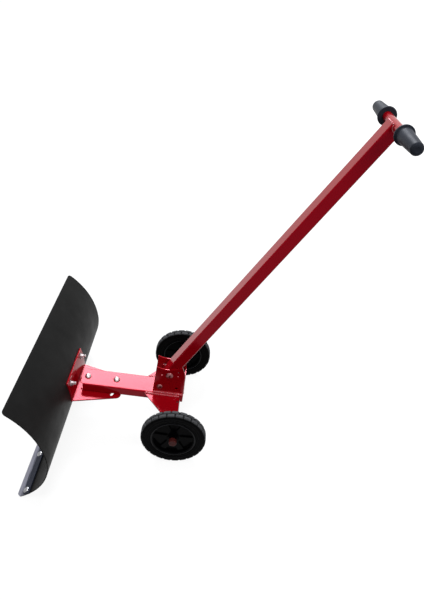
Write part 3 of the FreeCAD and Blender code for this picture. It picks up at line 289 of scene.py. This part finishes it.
RED = painted(
    "red_powder_coat", (0.28, 0.0006, 0.0046), roughness=0.15, ior=1.5, tint=(1.0, 0.06, 0.13),
    variation=0.04, peel_scale=420.0, peel_strength=0.01)
# the welds carry the same red paint, made lighter and pinker here: a painted sheen of light on the ripples
WELD = painted(
    "red_weld_coat_painted_sheen", (0.35, 0.008, 0.015), roughness=0.36, ior=1.9, tint=(1.0, 0.66, 0.72),
    variation=0.04, peel_scale=420.0, peel_strength=0.01)
BLADE = painted(
    "blade_coat", (0.0088, 0.0088, 0.0086), roughness=0.50, ior=1.20, tint=grey(0.08),
    variation=0.16, peel_scale=300.0, peel_strength=0.08)
ZINC = plated("zinc_plate", (0.29, 0.29, 0.30), roughness=0.26)
# lighter and pinker than the zinc: a painted highlight, tinged by a painted reflection of the red paint
ZINC_PAINTED_PINK_GLEAM = plated("zinc_with_painted_pink_gleam", (0.66, 0.58, 0.59), roughness=0.30)
# darker and red: painted shade with a painted reflection of the red cheeks round these bolts
ZINC_PAINTED_RED_REFLECTION = plated("zinc_with_painted_red_reflection", (0.24, 0.090, 0.095), roughness=0.34)
EDGE = ground_steel("cutting_edge_steel", bright_to=3 * MM, dark_from=22 * MM)
# the second colour is the tread's: partly scuffing, mostly a painted sheen of light on the lugs
TYRE = tyre_material(
    "tyre_rubber", (0.0026, 0.0026, 0.0028), (0.095, 0.097, 0.102),
    plain_side_to=95.5 * MM, sheen_and_scuff_from=98.5 * MM)
RIM = moulded(
    "rim_plastic", (0.0010, 0.0010, 0.0013), roughness=0.26, ior=1.13, tint=grey(0.06),
    grain_scale=900.0, grain_strength=0.02)
RIM_LIP = moulded(
    "rim_lip_plastic", (0.0006, 0.0006, 0.0009), roughness=0.16, ior=1.30, tint=(0.20, 0.20, 0.24),
    grain_scale=900.0, grain_strength=0.01)
CAP = moulded(
    "cap_plastic", (0.052, 0.009, 0.008), roughness=0.45, ior=1.35, tint=grey(0.15),
    grain_scale=900.0, grain_strength=0.06)
GRIP = moulded(
    "grip_rubber", (0.0260, 0.0290, 0.0380), roughness=0.46, ior=1.16, tint=(0.05, 0.08, 0.14),
    grain_scale=500.0, grain_strength=0.01, variation=0.10)
NYLON = moulded(
    "nylon", (0.75, 0.75, 0.72), roughness=0.45, ior=1.45, tint=grey(1.0),
    grain_scale=900.0, grain_strength=0.08, variation=0.05)

FINISH = {
    "red_paint": RED, "blade_paint": BLADE, "zinc": ZINC, "worn_steel": EDGE, "tyre_rubber": TYRE,
    "rim_plastic": RIM, "cap_plastic": CAP, "grip_rubber": GRIP, "nylon": NYLON,
}
# bolts and nuts given lit and shaded copies of the zinc: a painted highlight with a pink painted reflection on
# some, painted shade with a red painted reflection on the others
OWN_FINISH = {
    "mount_bolts": ZINC_PAINTED_PINK_GLEAM, "mount_nuts": ZINC_PAINTED_PINK_GLEAM,
    "yaw_pivot_bolt": ZINC_PAINTED_PINK_GLEAM, "yaw_lock_bolt": ZINC_PAINTED_PINK_GLEAM,
    "handle_pivot_bolt": ZINC_PAINTED_RED_REFLECTION, "handle_lock_bolt": ZINC_PAINTED_RED_REFLECTION,
}


# ---------------------------------------------------------------- pieces

# points of a CAD mesh closer than this are one, and faces that meet flatter than this are one
SAME_POINT = 0.1 * MM
SAME_FACE = math.radians(0.6)
# edges that turn more than this are rounded
SHARP_EDGE = math.radians(28)


def place(name, mesh, slot, body, finish=None):
    """Adds a finished mesh to the scene as a piece of its body."""
    piece = bpy.data.objects.new(name, mesh)
    bpy.context.scene.collection.objects.link(piece)
    mesh.materials.clear()
    mesh.materials.append(finish or FINISH[slot])
    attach(piece, body)
    return piece


def smooth_all(mesh):
    mesh.polygons.foreach_set("use_smooth", [True] * len(mesh.polygons))


def smooth(mesh, sharp_angle):
    """Smooth shading, but for edges that turn more than an angle in degrees."""
    smooth_all(mesh)
    mesh.set_sharp_from_angle(angle=math.radians(sharp_angle))


def softened(node, width, segments):
    """A copy of a CAD node whose sharp edges are rounded, standing for that node."""
    work = bmesh.new()
    work.from_mesh(NODES[node].data)
    bmesh.ops.remove_doubles(work, verts=work.verts, dist=SAME_POINT)
    bmesh.ops.dissolve_limit(work, angle_limit=SAME_FACE, verts=work.verts, edges=work.edges)
    mesh = bpy.data.meshes.new(node + "_shape")
    work.to_mesh(mesh)
    work.free()
    smooth_all(mesh)
    source = bpy.data.objects.new(node + "_source", mesh)
    bpy.context.scene.collection.objects.link(source)
    bevel = source.modifiers.new("round", "BEVEL")
    bevel.width = width
    bevel.segments = segments
    bevel.limit_method = "ANGLE"
    bevel.angle_limit = SHARP_EDGE
    bevel.use_clamp_overlap = False
    shading = source.modifiers.new("shading", "WEIGHTED_NORMAL")
    shading.mode = "FACE_AREA"
    shading.weight = 100
    shading.keep_sharp = True
    graph = bpy.context.evaluated_depsgraph_get()
    result = bpy.data.meshes.new_from_object(source.evaluated_get(graph))
    bpy.data.objects.remove(source)
    piece = place(node + "_finished", result, SLOT_OF[node], BODY_OF[node], OWN_FINISH.get(node))
    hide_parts(node)


# ---------------------------------------------------------------- mesh helpers

def grid_mesh(name, rows, closed_rows, closed_columns):
    """A mesh over a grid of points: rows of equal length, joined round where closed."""
    height, width = len(rows), len(rows[0])
    points = [tuple(point) for row in rows for point in row]
    faces = []
    for i in range(height if closed_rows else height - 1):
        for j in range(width if closed_columns else width - 1):
            k, n = (i + 1) % height, (j + 1) % width
            faces.append((i * width + j, k * width + j, k * width + n, i * width + n))
    mesh = bpy.data.meshes.new(name)
    mesh.from_pydata(points, [], faces)
    mesh.validate()
    work = bmesh.new()
    work.from_mesh(mesh)
    bmesh.ops.recalc_face_normals(work, faces=work.faces)
    work.to_mesh(mesh)
    work.free()
    return mesh


def joined(name, meshes):
    """Several meshes as one."""
    work = bmesh.new()
    for mesh in meshes:
        work.from_mesh(mesh)
    result = bpy.data.meshes.new(name)
    work.to_mesh(result)
    work.free()
    return result


def spokes(axis, steps):
    """Unit vectors evenly spread round an axis, each after its angle."""
    axis = axis.normalized()
    side = Vector((0, 0, 1)) if abs(axis.z) < 0.9 else Vector((1, 0, 0))
    first = side.cross(axis).normalized()
    second = axis.cross(first)
    angles = [2 * math.pi * i / steps for i in range(steps)]
    return [(angle, first * math.cos(angle) + second * math.sin(angle)) for angle in angles]


def wheel_spoke(angle):
    """The unit vector at an angle round the axle."""
    return Vector((math.cos(angle), 0, math.sin(angle)))


def arc(cx, cy, radius, start, end, count):
    """Points of an arc in a profile, from one angle to another in degrees."""
    angles = [math.radians(start + (end - start) * i / count) for i in range(count + 1)]
    return [(cx + radius * math.cos(a), cy + radius * math.sin(a)) for a in angles]


def span(points, axis):
    """Lowest and highest place of the points along an axis."""
    places = [point.dot(axis) for point in points]
    return min(places), max(places)


def middle(points):
    """The middle of the box round the points."""
    low = Vector([min(point[i] for point in points) for i in range(3)])
    high = Vector([max(point[i] for point in points) for i in range(3)])
    return (low + high) / 2


def islands(node):
    """The separate solids of a CAD node, each as a list of its points, in order across the machine."""
    work = bmesh.new()
    work.from_mesh(NODES[node].data)
    bmesh.ops.remove_doubles(work, verts=work.verts, dist=0.002 * MM)
    met = set()
    groups = []
    for start in work.verts:
        if start in met:
            continue
        met.add(start)
        front = [start]
        group = []
        while front:
            vert = front.pop()
            group.append(vert.co.copy())
            for edge in vert.link_edges:
                other = edge.other_vert(vert)
                if other not in met:
                    met.add(other)
                    front.append(other)
        groups.append(group)
    work.free()
    return sorted(groups, key=lambda points: middle(points).y)


# ---------------------------------------------------------------- steel, plates and tubes

# the width of the rounded edges in millimetres
LARGE_PIECES = (
    ("boom", 0.5), ("carrier_wing_left", 0.5), ("carrier_wing_right", 0.5), ("axle_spacers", 0.3),
    ("handle_bracket", 0.4), ("handle_tube", 0.25), ("pivot_sleeve", 0.3), ("crossbar", 0.3),
    ("blade_bracket", 0.6), ("blade_sheet", 0.4), ("cutting_edge", 0.6), ("axle", 0.5),
)
SMALL_PIECES = (
    ("inner_hub_washers", 0.25), ("outer_hub_washers", 0.25),
    ("yaw_pivot_bolt", 0.3), ("yaw_pivot_washer", 0.25),
    ("yaw_lock_bolt", 0.3), ("yaw_lock_washer", 0.25),
    ("handle_pivot_bolt", 0.3), ("handle_pivot_washer", 0.25),
    ("handle_lock_bolt", 0.3), ("handle_lock_washer", 0.25),
    ("pivot_spacers", 0.3), ("mount_bolts", 0.3), ("mount_washers", 0.25),
    ("cutting_edge_bolts", 0.3), ("hub_bush_left", 0.3), ("hub_bush_right", 0.3),
    ("axle_cap_left", 1.5), ("axle_cap_right", 1.5), ("rim_left", 0.35), ("rim_right", 0.35),
)
for pieces, segments in ((LARGE_PIECES, 2), (SMALL_PIECES, 3)):
    for node, width in pieces:
        softened(node, width * MM, segments)


# ---------------------------------------------------------------- nuts and threads

NUT_STEPS = 72
# radius of a nut's flat face as a share of half its width, and the slope of the cone outside it
NUT_FACE, NUT_CONE = 0.96, 0.55
COUNTERSINK = 0.6 * MM
THREAD_STEPS = 36
RINGS_PER_PITCH = 8
# radius of a thread's root, height of its ridge and taper of its end, as shares of the bolt's radius
THREAD_ROOT, THREAD_RIDGE, THREAD_TAPER = 0.985, 0.075, 0.05
# the share of a pitch in which the thread fades out at the bolt's end
THREAD_FADE = 0.8
# each nut is turned a little further than the one before it, in radians
FIRST_TURN, NEXT_TURN = 0.3, 1.1
# a shank has to stand out this far to get a thread, which ends a little before the shank's end
SHORTEST_THREAD = 1.0 * MM
THREAD_SHY = 0.3 * MM


def nut_mesh(centre, axis, turn, flats, height, bore):
    """A hexagon nut with its corners turned down to a cone at both faces and a countersunk bore."""
    half = height / 2
    face = flats / 2 * NUT_FACE
    rim = bore + COUNTERSINK
    rows = []
    for angle, spoke in spokes(axis, NUT_STEPS):
        from_flat = (angle - turn) % math.radians(60) - math.radians(30)
        side = flats / 2 / math.cos(from_flat)
        drop = (side - face) * NUT_CONE
        profile = [
            (bore, -half + COUNTERSINK), (rim, -half), (face, -half), (side, drop - half),
            (side, half - drop), (face, half), (rim, half), (bore, half - COUNTERSINK),
        ]
        rows.append([centre + axis * along + spoke * radius for radius, along in profile])
    return grid_mesh("nut", rows, closed_rows=True, closed_columns=True)


def thread_mesh(start, axis, length, radius, pitch):
    """A screw thread standing out of a nut: a tube whose ridge climbs one pitch each turn."""
    ring = spokes(axis, THREAD_STEPS)
    rings = max(RINGS_PER_PITCH, int(length / pitch * RINGS_PER_PITCH))
    rows = []
    for k in range(rings + 1):
        along = length * k / rings
        fade = min(1.0, (length - along) / (pitch * THREAD_FADE))
        row = []
        for angle, spoke in ring:
            phase = (along / pitch - angle / (2 * math.pi)) % 1.0
            ridge = 1 - abs(2 * phase - 1)
            share = THREAD_ROOT + THREAD_RIDGE * ridge * fade - THREAD_TAPER * (1 - fade)
            row.append(start + axis * along + spoke * (radius * share))
        rows.append(row)
    return grid_mesh("thread", rows, closed_rows=False, closed_columns=True)


def bolt_axis(points, guess):
    """The long axis of a bolt, from its head to its end."""
    centre = middle(points)
    axis = guess
    # each round turns the axis towards the far points, and it settles within a few rounds
    for _ in range(12):
        total = Vector((0, 0, 0))
        for point in points:
            arm = point - centre
            total += arm * arm.dot(axis) * arm.length
        axis = total.normalized()
    return axis


def dress_bolts(bolts, nuts, size):
    """Chamfered nuts in place of the plain ones, and a thread on each shank that stands out of them."""
    radius, flats, pitch = size
    nut_meshes, thread_meshes = [], []
    shanks = islands(bolts)
    for index, points in enumerate(islands(nuts)):
        centre = middle(points)
        shank = min(shanks, key=lambda other: (middle(other) - centre).length)
        axis = bolt_axis(shank, (centre - middle(shank)).normalized())
        low, high = span(points, axis)
        centre = centre + axis * ((low + high) / 2 - centre.dot(axis))
        turn = FIRST_TURN + NEXT_TURN * index
        nut_meshes.append(nut_mesh(centre, axis, turn, flats, high - low, radius))
        out = span(shank, axis)[1] - high
        if out > SHORTEST_THREAD:
            base = centre + axis * (high - centre.dot(axis))
            thread_meshes.append(thread_mesh(base, axis, out - THREAD_SHY, radius, pitch))
    nut = joined(nuts + "_cut", nut_meshes)
    smooth(nut, sharp_angle=25)
    piece = place(nuts + "_chamfered", nut, "zinc", BODY_OF[nuts], OWN_FINISH.get(nuts))
    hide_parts(nuts)
    if thread_meshes:
        thread = joined(nuts + "_threads", thread_meshes)
        smooth(thread, sharp_angle=60)
        place(bolts + "_threads", thread, "zinc", BODY_OF[bolts], OWN_FINISH.get(nuts))


for name, size in (
    ("yaw_pivot", M_EIGHT), ("yaw_lock", M_EIGHT), ("handle_pivot", M_TEN), ("handle_lock", M_EIGHT),
):
    dress_bolts(name + "_bolt", name + "_nut", size)
dress_bolts("mount_bolts", "mount_nuts", M_EIGHT)
dress_bolts("cutting_edge_bolts", "cutting_edge_nuts", M_EIGHT)


# ---------------------------------------------------------------- welds

WELD_STEP = 0.4 * MM
WELD_STEPS_AROUND = 12
# how far a bead reaches into the two faces, and over what length its ends round off from a blunt start
WELD_SINK = 0.8 * MM
WELD_END, WELD_BLUNT = 3 * MM, 0.6 * MM
# the parts of a bead's size: the plain bead, its ripples and its raised middle
WELD_PLAIN, WELD_RIPPLE, WELD_CROWN = 0.70, 0.18, 0.12
# the distance between a bead's ripples
RIPPLE_PITCH, FINE_PITCH = 6.0 * MM, 4.0 * MM


def straight_seam(start, end, normal_a, normal_b):
    """Places along a straight corner between two faces, each with the faces' two normals."""
    steps = int((end - start).length / WELD_STEP)
    return [(start + (end - start) * (k / steps), normal_a, normal_b) for k in range(steps + 1)]


def round_seam(centre, axis, start, radius, sweep, normal_a):
    """Places along an arc about an axis where a plate stands against a round bar."""
    steps = int(abs(sweep) * radius / WELD_STEP)
    seam = []
    for k in range(steps + 1):
        way = Quaternion(axis, sweep * k / steps) @ start
        seam.append((centre + way * radius, normal_a, way))
    return seam


def weld(name, seam, leg_a, leg_b, body, seed, pitch=RIPPLE_PITCH):
    """A bead in a corner: overlapping crescent ripples laid along a seam.

    The legs say how far it stands out along the seam's two normals, and the seed shifts its waves.
    """
    length = WELD_STEP * (len(seam) - 1)
    rows = []
    for k, (point, normal_a, normal_b) in enumerate(seam):
        along = WELD_STEP * k
        nearest_end = min(along + WELD_BLUNT, length - along + WELD_BLUNT)
        end_shape = math.sqrt(1 - (1 - min(1.0, nearest_end / WELD_END)) ** 2)
        # a slow and a quick wave, so that the bead's size wanders
        wander = math.sin(along * 310 + seed) * 0.08 + math.sin(along * 830 + 2 * seed) * 0.05
        sink = (normal_a + normal_b) * WELD_SINK
        row = []
        for j in range(WELD_STEPS_AROUND + 1):
            turn = math.pi / 2 * j / WELD_STEPS_AROUND
            crown = math.sin(2 * turn)
            # the ripples lead in the bead's middle, which bends them into crescents
            ripple_at = along / pitch + 0.4 * crown + 0.3 * math.sin(along * 190 + seed)
            ripple = (0.3 + 0.7 * crown) * math.sin(math.pi * (ripple_at % 1.0) ** 0.7) ** 0.7
            size = WELD_PLAIN + WELD_RIPPLE * ripple + WELD_CROWN * crown
            offset = normal_b * math.cos(turn) * leg_b + normal_a * math.sin(turn) * leg_a
            row.append(point + offset * ((1 + wander) * end_shape * size) - sink)
        row.append(point - sink * 2)
        rows.append(row)
    mesh = grid_mesh(name, rows, closed_rows=False, closed_columns=True)
    smooth(mesh, sharp_angle=55)
    place(name, mesh, "red_paint", body, WELD)


def boom_seam(front, rear, across, up, out):
    """A seam along the boom, in the corner between a level face and one that looks out."""
    return straight_seam(on_boom(front, across, up), on_boom(rear, across, up), UP, out)


for side, sign in SIDES:
    out = ACROSS * sign
    weld("weld_cheek_" + side,
         boom_seam(-84 * MM, 13 * MM, CHEEK_OUTSIDE * sign, BOOM_TOP, out),
         5.5 * MM, 10.0 * MM, "chassis", seed=1.3 * sign)
    weld("weld_wing_" + side,
         boom_seam(-108 * MM, 4 * MM, BOOM_HALF * sign, BOOM_TOP - WING_STEP, out),
         6.0 * MM, 8.5 * MM, "chassis", seed=2.1 * sign + 4)
web_foot = on_boom(BOOM_TAIL, 0, BOOM_TOP - 1 * MM)
reach = ACROSS * 27 * MM
weld("weld_web_foot", straight_seam(web_foot - reach, web_foot + reach, UP, ALONG),
     3.0 * MM, 3.0 * MM, "chassis", seed=0.7, pitch=FINE_PITCH)

for name, face, seed in (("front", HANDLE_FRONT, 3.3), ("rear", -HANDLE_FRONT, 5.1)):
    # the tube's end is coped round the bar, so the seam lies a little inside both
    corner = CROSSBAR + face * (TUBE_HALF_DEPTH - 4.3 * MM) - HANDLE_WAY * 1.2 * MM
    reach = ACROSS * (TUBE_HALF_WIDTH + 0.5 * MM)
    weld("weld_bar_" + name, straight_seam(corner - reach, corner + reach, face, HANDLE_WAY),
         6.4 * MM, 5.6 * MM, "handle", seed=seed)
for side, sign in SIDES:
    face = ACROSS * sign
    weld("weld_bar_" + side,
         round_seam(CROSSBAR + face * TUBE_HALF_WIDTH, ACROSS, HANDLE_FRONT, BAR_RADIUS, -math.pi, face),
         3.4 * MM, 3.4 * MM, "handle", seed=0.9 * sign, pitch=FINE_PITCH)


# ---------------------------------------------------------------- tyres and rims

LUGS = 24
LUG_PITCH = 2 * math.pi / LUGS
GROOVE_FLOOR = 96 * MM
# half the width of a groove, as an angle round the axle
HALF_GROOVE = 2.5 * MM / TYRE_RADIUS
# up to these shares of it a groove is cut fully, and then as a shallow step
FULL_CUT, STEP_CUT, STEP_DEPTH = 0.81, 1.13, 0.12
# below this radius a groove also cuts into the tyre's side, up to this depth
SHOULDER, SHOULDER_CUT = 97 * MM, 1.6 * MM
# half a tyre's section from the bead to its middle: distance from the middle plane and radius in
# millimetres, and how far the grooves cut there, from 0 to 1
TYRE_SECTION = (
    (11.6, 71.0, 0.0), (12.4, 71.6, 0.0), (13.0, 73.0, 0.0), (13.2, 75.5, 0.0), (13.0, 76.0, 0.0),
    (13.1, 77.6, 0.0), (13.7, 78.2, 0.0), (14.0, 80.5, 0.0), (14.0, 83.0, 0.0), (13.7, 83.8, 0.0),
    (13.7, 85.4, 0.0), (14.0, 86.0, 0.0), (14.0, 89.0, 0.0), (13.9, 91.6, 0.0), (13.7, 92.4, 0.75),
    (13.2, 94.2, 1.0), (12.2, 96.4, 1.0), (11.2, 98.2, 1.0), (10.3, 99.4, 1.0), (9.3, 99.9, 1.0),
    (8.0, 100.0, 1.0), (5.0, 100.0, 1.0), (2.6, 100.0, 1.0), (1.9, 99.7, 1.0), (1.45, 98.6, 0.9),
    (1.2, 96.6, 0.0), (0.8, 96.2, 0.0), (0.0, 96.2, 0.0),
)


def groove_at(offset, groove):
    """How deep the groove that lies at one angle is cut at another, from 0 to 1."""
    distance = abs((offset - groove + LUG_PITCH / 2) % LUG_PITCH - LUG_PITCH / 2)
    if distance <= HALF_GROOVE * FULL_CUT:
        return 1
    return STEP_DEPTH if distance <= HALF_GROOVE * STEP_CUT else 0


def tyre_rows(centre, sign):
    """Rings of points for one tyre: two staggered rows of lugs, bevelled shoulders, ribbed sides."""
    near_groove = [HALF_GROOVE * share for share in (0.0, 0.80, 1.12, 1.55)]
    on_lug = [LUG_PITCH * share for share in (0.22, 0.30, 0.38)]
    offsets = sorted({
        round((groove + way * part) % LUG_PITCH, 7)
        for groove in (0.0, LUG_PITCH / 2) for part in near_groove + on_lug for way in (1, -1)
    })
    half = [(z * MM, radius * MM, cut) for z, radius, cut in TYRE_SECTION]
    section = half + [(-z, radius, cut) for z, radius, cut in reversed(half[:-1])]
    rows = []
    for lug in range(LUGS):
        for offset in offsets:
            spoke = wheel_spoke(lug * LUG_PITCH + offset)
            row = []
            for z, radius, cut in section:
                groove = 0.0 if z * sign <= 0 else LUG_PITCH / 2
                depth = cut * groove_at(offset, groove)
                sunk = radius - depth * max(0.0, radius - GROOVE_FLOOR)
                inset = depth * SHOULDER_CUT if radius <= SHOULDER else 0.0
                row.append(centre + spoke * sunk + ACROSS * (z - math.copysign(inset, z)))
            rows.append(row)
    return rows


for side, sign in SIDES:
    mesh = grid_mesh(
        "tyre_" + side, tyre_rows(WHEEL[side], sign), closed_rows=True, closed_columns=True)
    smooth(mesh, sharp_angle=38)
    tyre = place("tyre_%s_moulded" % side, mesh, "tyre_rubber", "wheel_" + side)
    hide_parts("tyre_" + side)

BEAD_RADIUS, BEAD_THICKNESS, BEAD_SEAT = 67 * MM, 1.9 * MM, 11.9 * MM
BEAD_STEPS, BEAD_STEPS_AROUND = 128, 12


def ring_bead(name, centre, face, body):
    """A half-round bead moulded round the face of a rim."""
    section = arc(BEAD_RADIUS, BEAD_SEAT, BEAD_THICKNESS, -15, 195, BEAD_STEPS_AROUND)
    rows = []
    for k in range(BEAD_STEPS):
        spoke = wheel_spoke(2 * math.pi * k / BEAD_STEPS)
        rows.append([centre + spoke * radius + face * along for radius, along in section])
    mesh = grid_mesh(name, rows, closed_rows=True, closed_columns=False)
    smooth(mesh, sharp_angle=60)
    place(name, mesh, "rim_plastic", body, RIM_LIP)


for side, sign in SIDES:
    for name, way in (("outer", 1), ("inner", -1)):
        ring_bead("rim_bead_%s_%s" % (side, name), WHEEL[side], ACROSS * way * sign, "wheel_" + side)


# ---------------------------------------------------------------- grips

GRIP_STEPS = 96


def grip_section():
    """Half section of a grip in millimetres, from its bore round the flange and the cone to the tip."""
    flange = arc(22.3, 2.5, 2.5, -90, 0, 5) + arc(22.3, 4.5, 2.5, 0, 90, 5)
    hollow = arc(21.6, 8.8, 1.8, -90, -180, 4)
    cone = [(19.4, 12.0), (19.1, 20.0), (18.4, 40.0), (17.4, 62.0), (16.5, 82.0), (15.6, 97.0)]
    tip = arc(6.4, 100.0, 9.2, 4, 80, 12) + [(7.2, 109.3), (6.2, 109.1), (5.6, 108.8), (0.02, 108.8)]
    bore_end = [(0.02, 87.0), (12.55, 87.0)]
    return [(12.55, 0.6), (13.2, 0.0), (21.0, 0.0)] + flange + hollow + cone + tip + bore_end


for side, sign in SIDES:
    start = Vector((CROSSBAR.x, GRIP_START * sign, CROSSBAR.z))
    axis = ACROSS * sign
    rows = [
        [start + axis * (along * MM) + spoke * (radius * MM) for radius, along in grip_section()]
        for _, spoke in spokes(axis, GRIP_STEPS)
    ]
    mesh = grid_mesh("grip_" + side, rows, closed_rows=True, closed_columns=True)
    smooth(mesh, sharp_angle=40)
    grip = place("grip_%s_moulded" % side, mesh, "grip_rubber", "handle")
    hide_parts("grip_" + side)


# ---------------------------------------------------------------- floor, light and camera

FLOOR_REACH = 40.0
# the floor lies this far under the wheels, so that the two never share a plane
FLOOR_GAP = 0.4 * MM
# the floor's glow rises to full white between these distances from its middle
GLOW_NEAR, GLOW_FAR = 1.2, 3.0
GLOW_AT_PART = 0.90


def seen_directly(tree):
    """1 where the ray comes from the camera, a mirror or glass, else 0."""
    path = add_node(tree, "ShaderNodeLightPath").outputs
    seen = maths(tree, "ShaderNodeMath", "MAXIMUM", path["Is Camera Ray"], path["Is Glossy Ray"])
    return maths(tree, "ShaderNodeMath", "MAXIMUM", seen, path["Is Transmission Ray"])


def show_either(tree, hidden, seen, output):
    """Shows one shader where it is seen directly, and lights the scene with the other."""
    choose = add_node(tree, "ShaderNodeMixShader")
    for socket, source in zip(choose.inputs, (seen_directly(tree), hidden, seen)):
        tree.links.new(source, socket)
    tree.links.new(choose.outputs[0], tree.nodes[output].inputs["Surface"])


def staged_floor():
    """A pale floor that shows as white, yet keeps the shadow under the wheels and the blade."""
    mesh = bpy.data.meshes.new("floor")
    corners = [(-1, -1), (1, -1), (1, 1), (-1, 1)]
    mesh.from_pydata([(x * FLOOR_REACH, y * FLOOR_REACH, 0) for x, y in corners], [], [(0, 1, 2, 3)])
    floor = bpy.data.objects.new("floor", mesh)
    bpy.context.scene.collection.objects.link(floor)
    floor.location.z = -FLOOR_GAP
    material, tree, paper = new_material("floor_paper")
    set_inputs(
        tree, paper, Base_Color=(0.22, 0.22, 0.22, 1), Roughness=0.9, Specular_IOR_Level=0.0)
    away = maths(tree, "ShaderNodeVectorMath", "LENGTH", object_point(tree))
    strength = between(tree, away, GLOW_NEAR, GLOW_FAR, GLOW_AT_PART, 1.0)
    glow = add_node(tree, "ShaderNodeEmission", Strength=strength)
    pale = add_node(tree, "ShaderNodeBsdfDiffuse", Color=(0.13, 0.13, 0.13, 1))
    both = add_node(tree, "ShaderNodeAddShader")
    tree.links.new(glow.outputs[0], both.inputs[0])
    tree.links.new(pale.outputs[0], both.inputs[1])
    show_either(tree, paper.outputs[0], both.outputs[0], "Material Output")
    mesh.materials.append(material)


def set_world():
    """A white backdrop that lights the scene only dimly."""
    world = bpy.data.worlds.new("studio")
    bpy.context.scene.world = world
    world.use_nodes = True
    tree = world.node_tree
    dim = tree.nodes["Background"]
    set_inputs(tree, dim, Color=(0.95, 0.97, 1.0, 1), Strength=0.26)
    white = add_node(tree, "ShaderNodeBackground", Color=(1, 1, 1, 1), Strength=1.0)
    show_either(tree, dim.outputs[0], white.outputs[0], "World Output")


def soft_light(name, place_at, aim, width, height, radiance, colour=(1, 1, 1)):
    """A rectangular softbox of the given brightness, turned towards a point."""
    lamp = bpy.data.lights.new(name, "AREA")
    lamp.shape = "RECTANGLE"
    lamp.size = width
    lamp.size_y = height
    lamp.energy = radiance * math.pi * width * height
    lamp.color = colour
    box = bpy.data.objects.new(name, lamp)
    bpy.context.scene.collection.objects.link(box)
    box.location = place_at
    box.rotation_euler = (Vector(aim) - Vector(place_at)).to_track_quat("-Z", "Y").to_euler()


def set_camera(place_at, rise, turn, roll, focal_length):
    """The camera of the photograph: above and beside the machine, looking across it.

    It looks down by the rise, is turned from +Y by the turn and is tipped by the roll, in degrees.
    """
    rise, turn, roll = math.radians(rise), math.radians(turn), math.radians(roll)
    forward = Vector((-math.sin(turn) * math.cos(rise), math.cos(turn) * math.cos(rise), -math.sin(rise)))
    right = Vector((math.cos(turn), math.sin(turn), 0))
    down = forward.cross(right)
    picture_right = right * math.cos(roll) + down * math.sin(roll)
    picture_down = down * math.cos(roll) - right * math.sin(roll)
    lens = bpy.data.cameras.new("camera")
    lens.lens = focal_length
    lens.sensor_width = 36
    lens.sensor_fit = "AUTO"
    camera = bpy.data.objects.new("camera", lens)
    bpy.context.scene.collection.objects.link(camera)
    turned_to = Matrix((picture_right, -picture_down, -forward)).transposed().to_4x4()
    camera.matrix_world = Matrix.Translation(place_at) @ turned_to
    bpy.context.scene.camera = camera


staged_floor()
set_world()
soft_light(
    "back_softbox", (-0.22, 6.44, 6.43), aim=(-0.22, 0.0, 0.15), width=3.6, height=3.1, radiance=24.0,
    colour=(0.92, 0.95, 1.0))
soft_light(
    "top_softbox", (-0.2, -0.6, 6.0), aim=(-0.2, 0.0, 0.15), width=3.0, height=3.0, radiance=6.0)
soft_light(
    "front_softbox", (2.4, -3.2, 3.5), aim=(0.0, -0.1, 0.15), width=1.7, height=1.7, radiance=8.0)
set_camera((0.10934, -1.30884, 1.35248), rise=33.94, turn=2.60, roll=1.63, focal_length=31.773)
bpy.context.scene.view_settings.view_transform = "Standard"
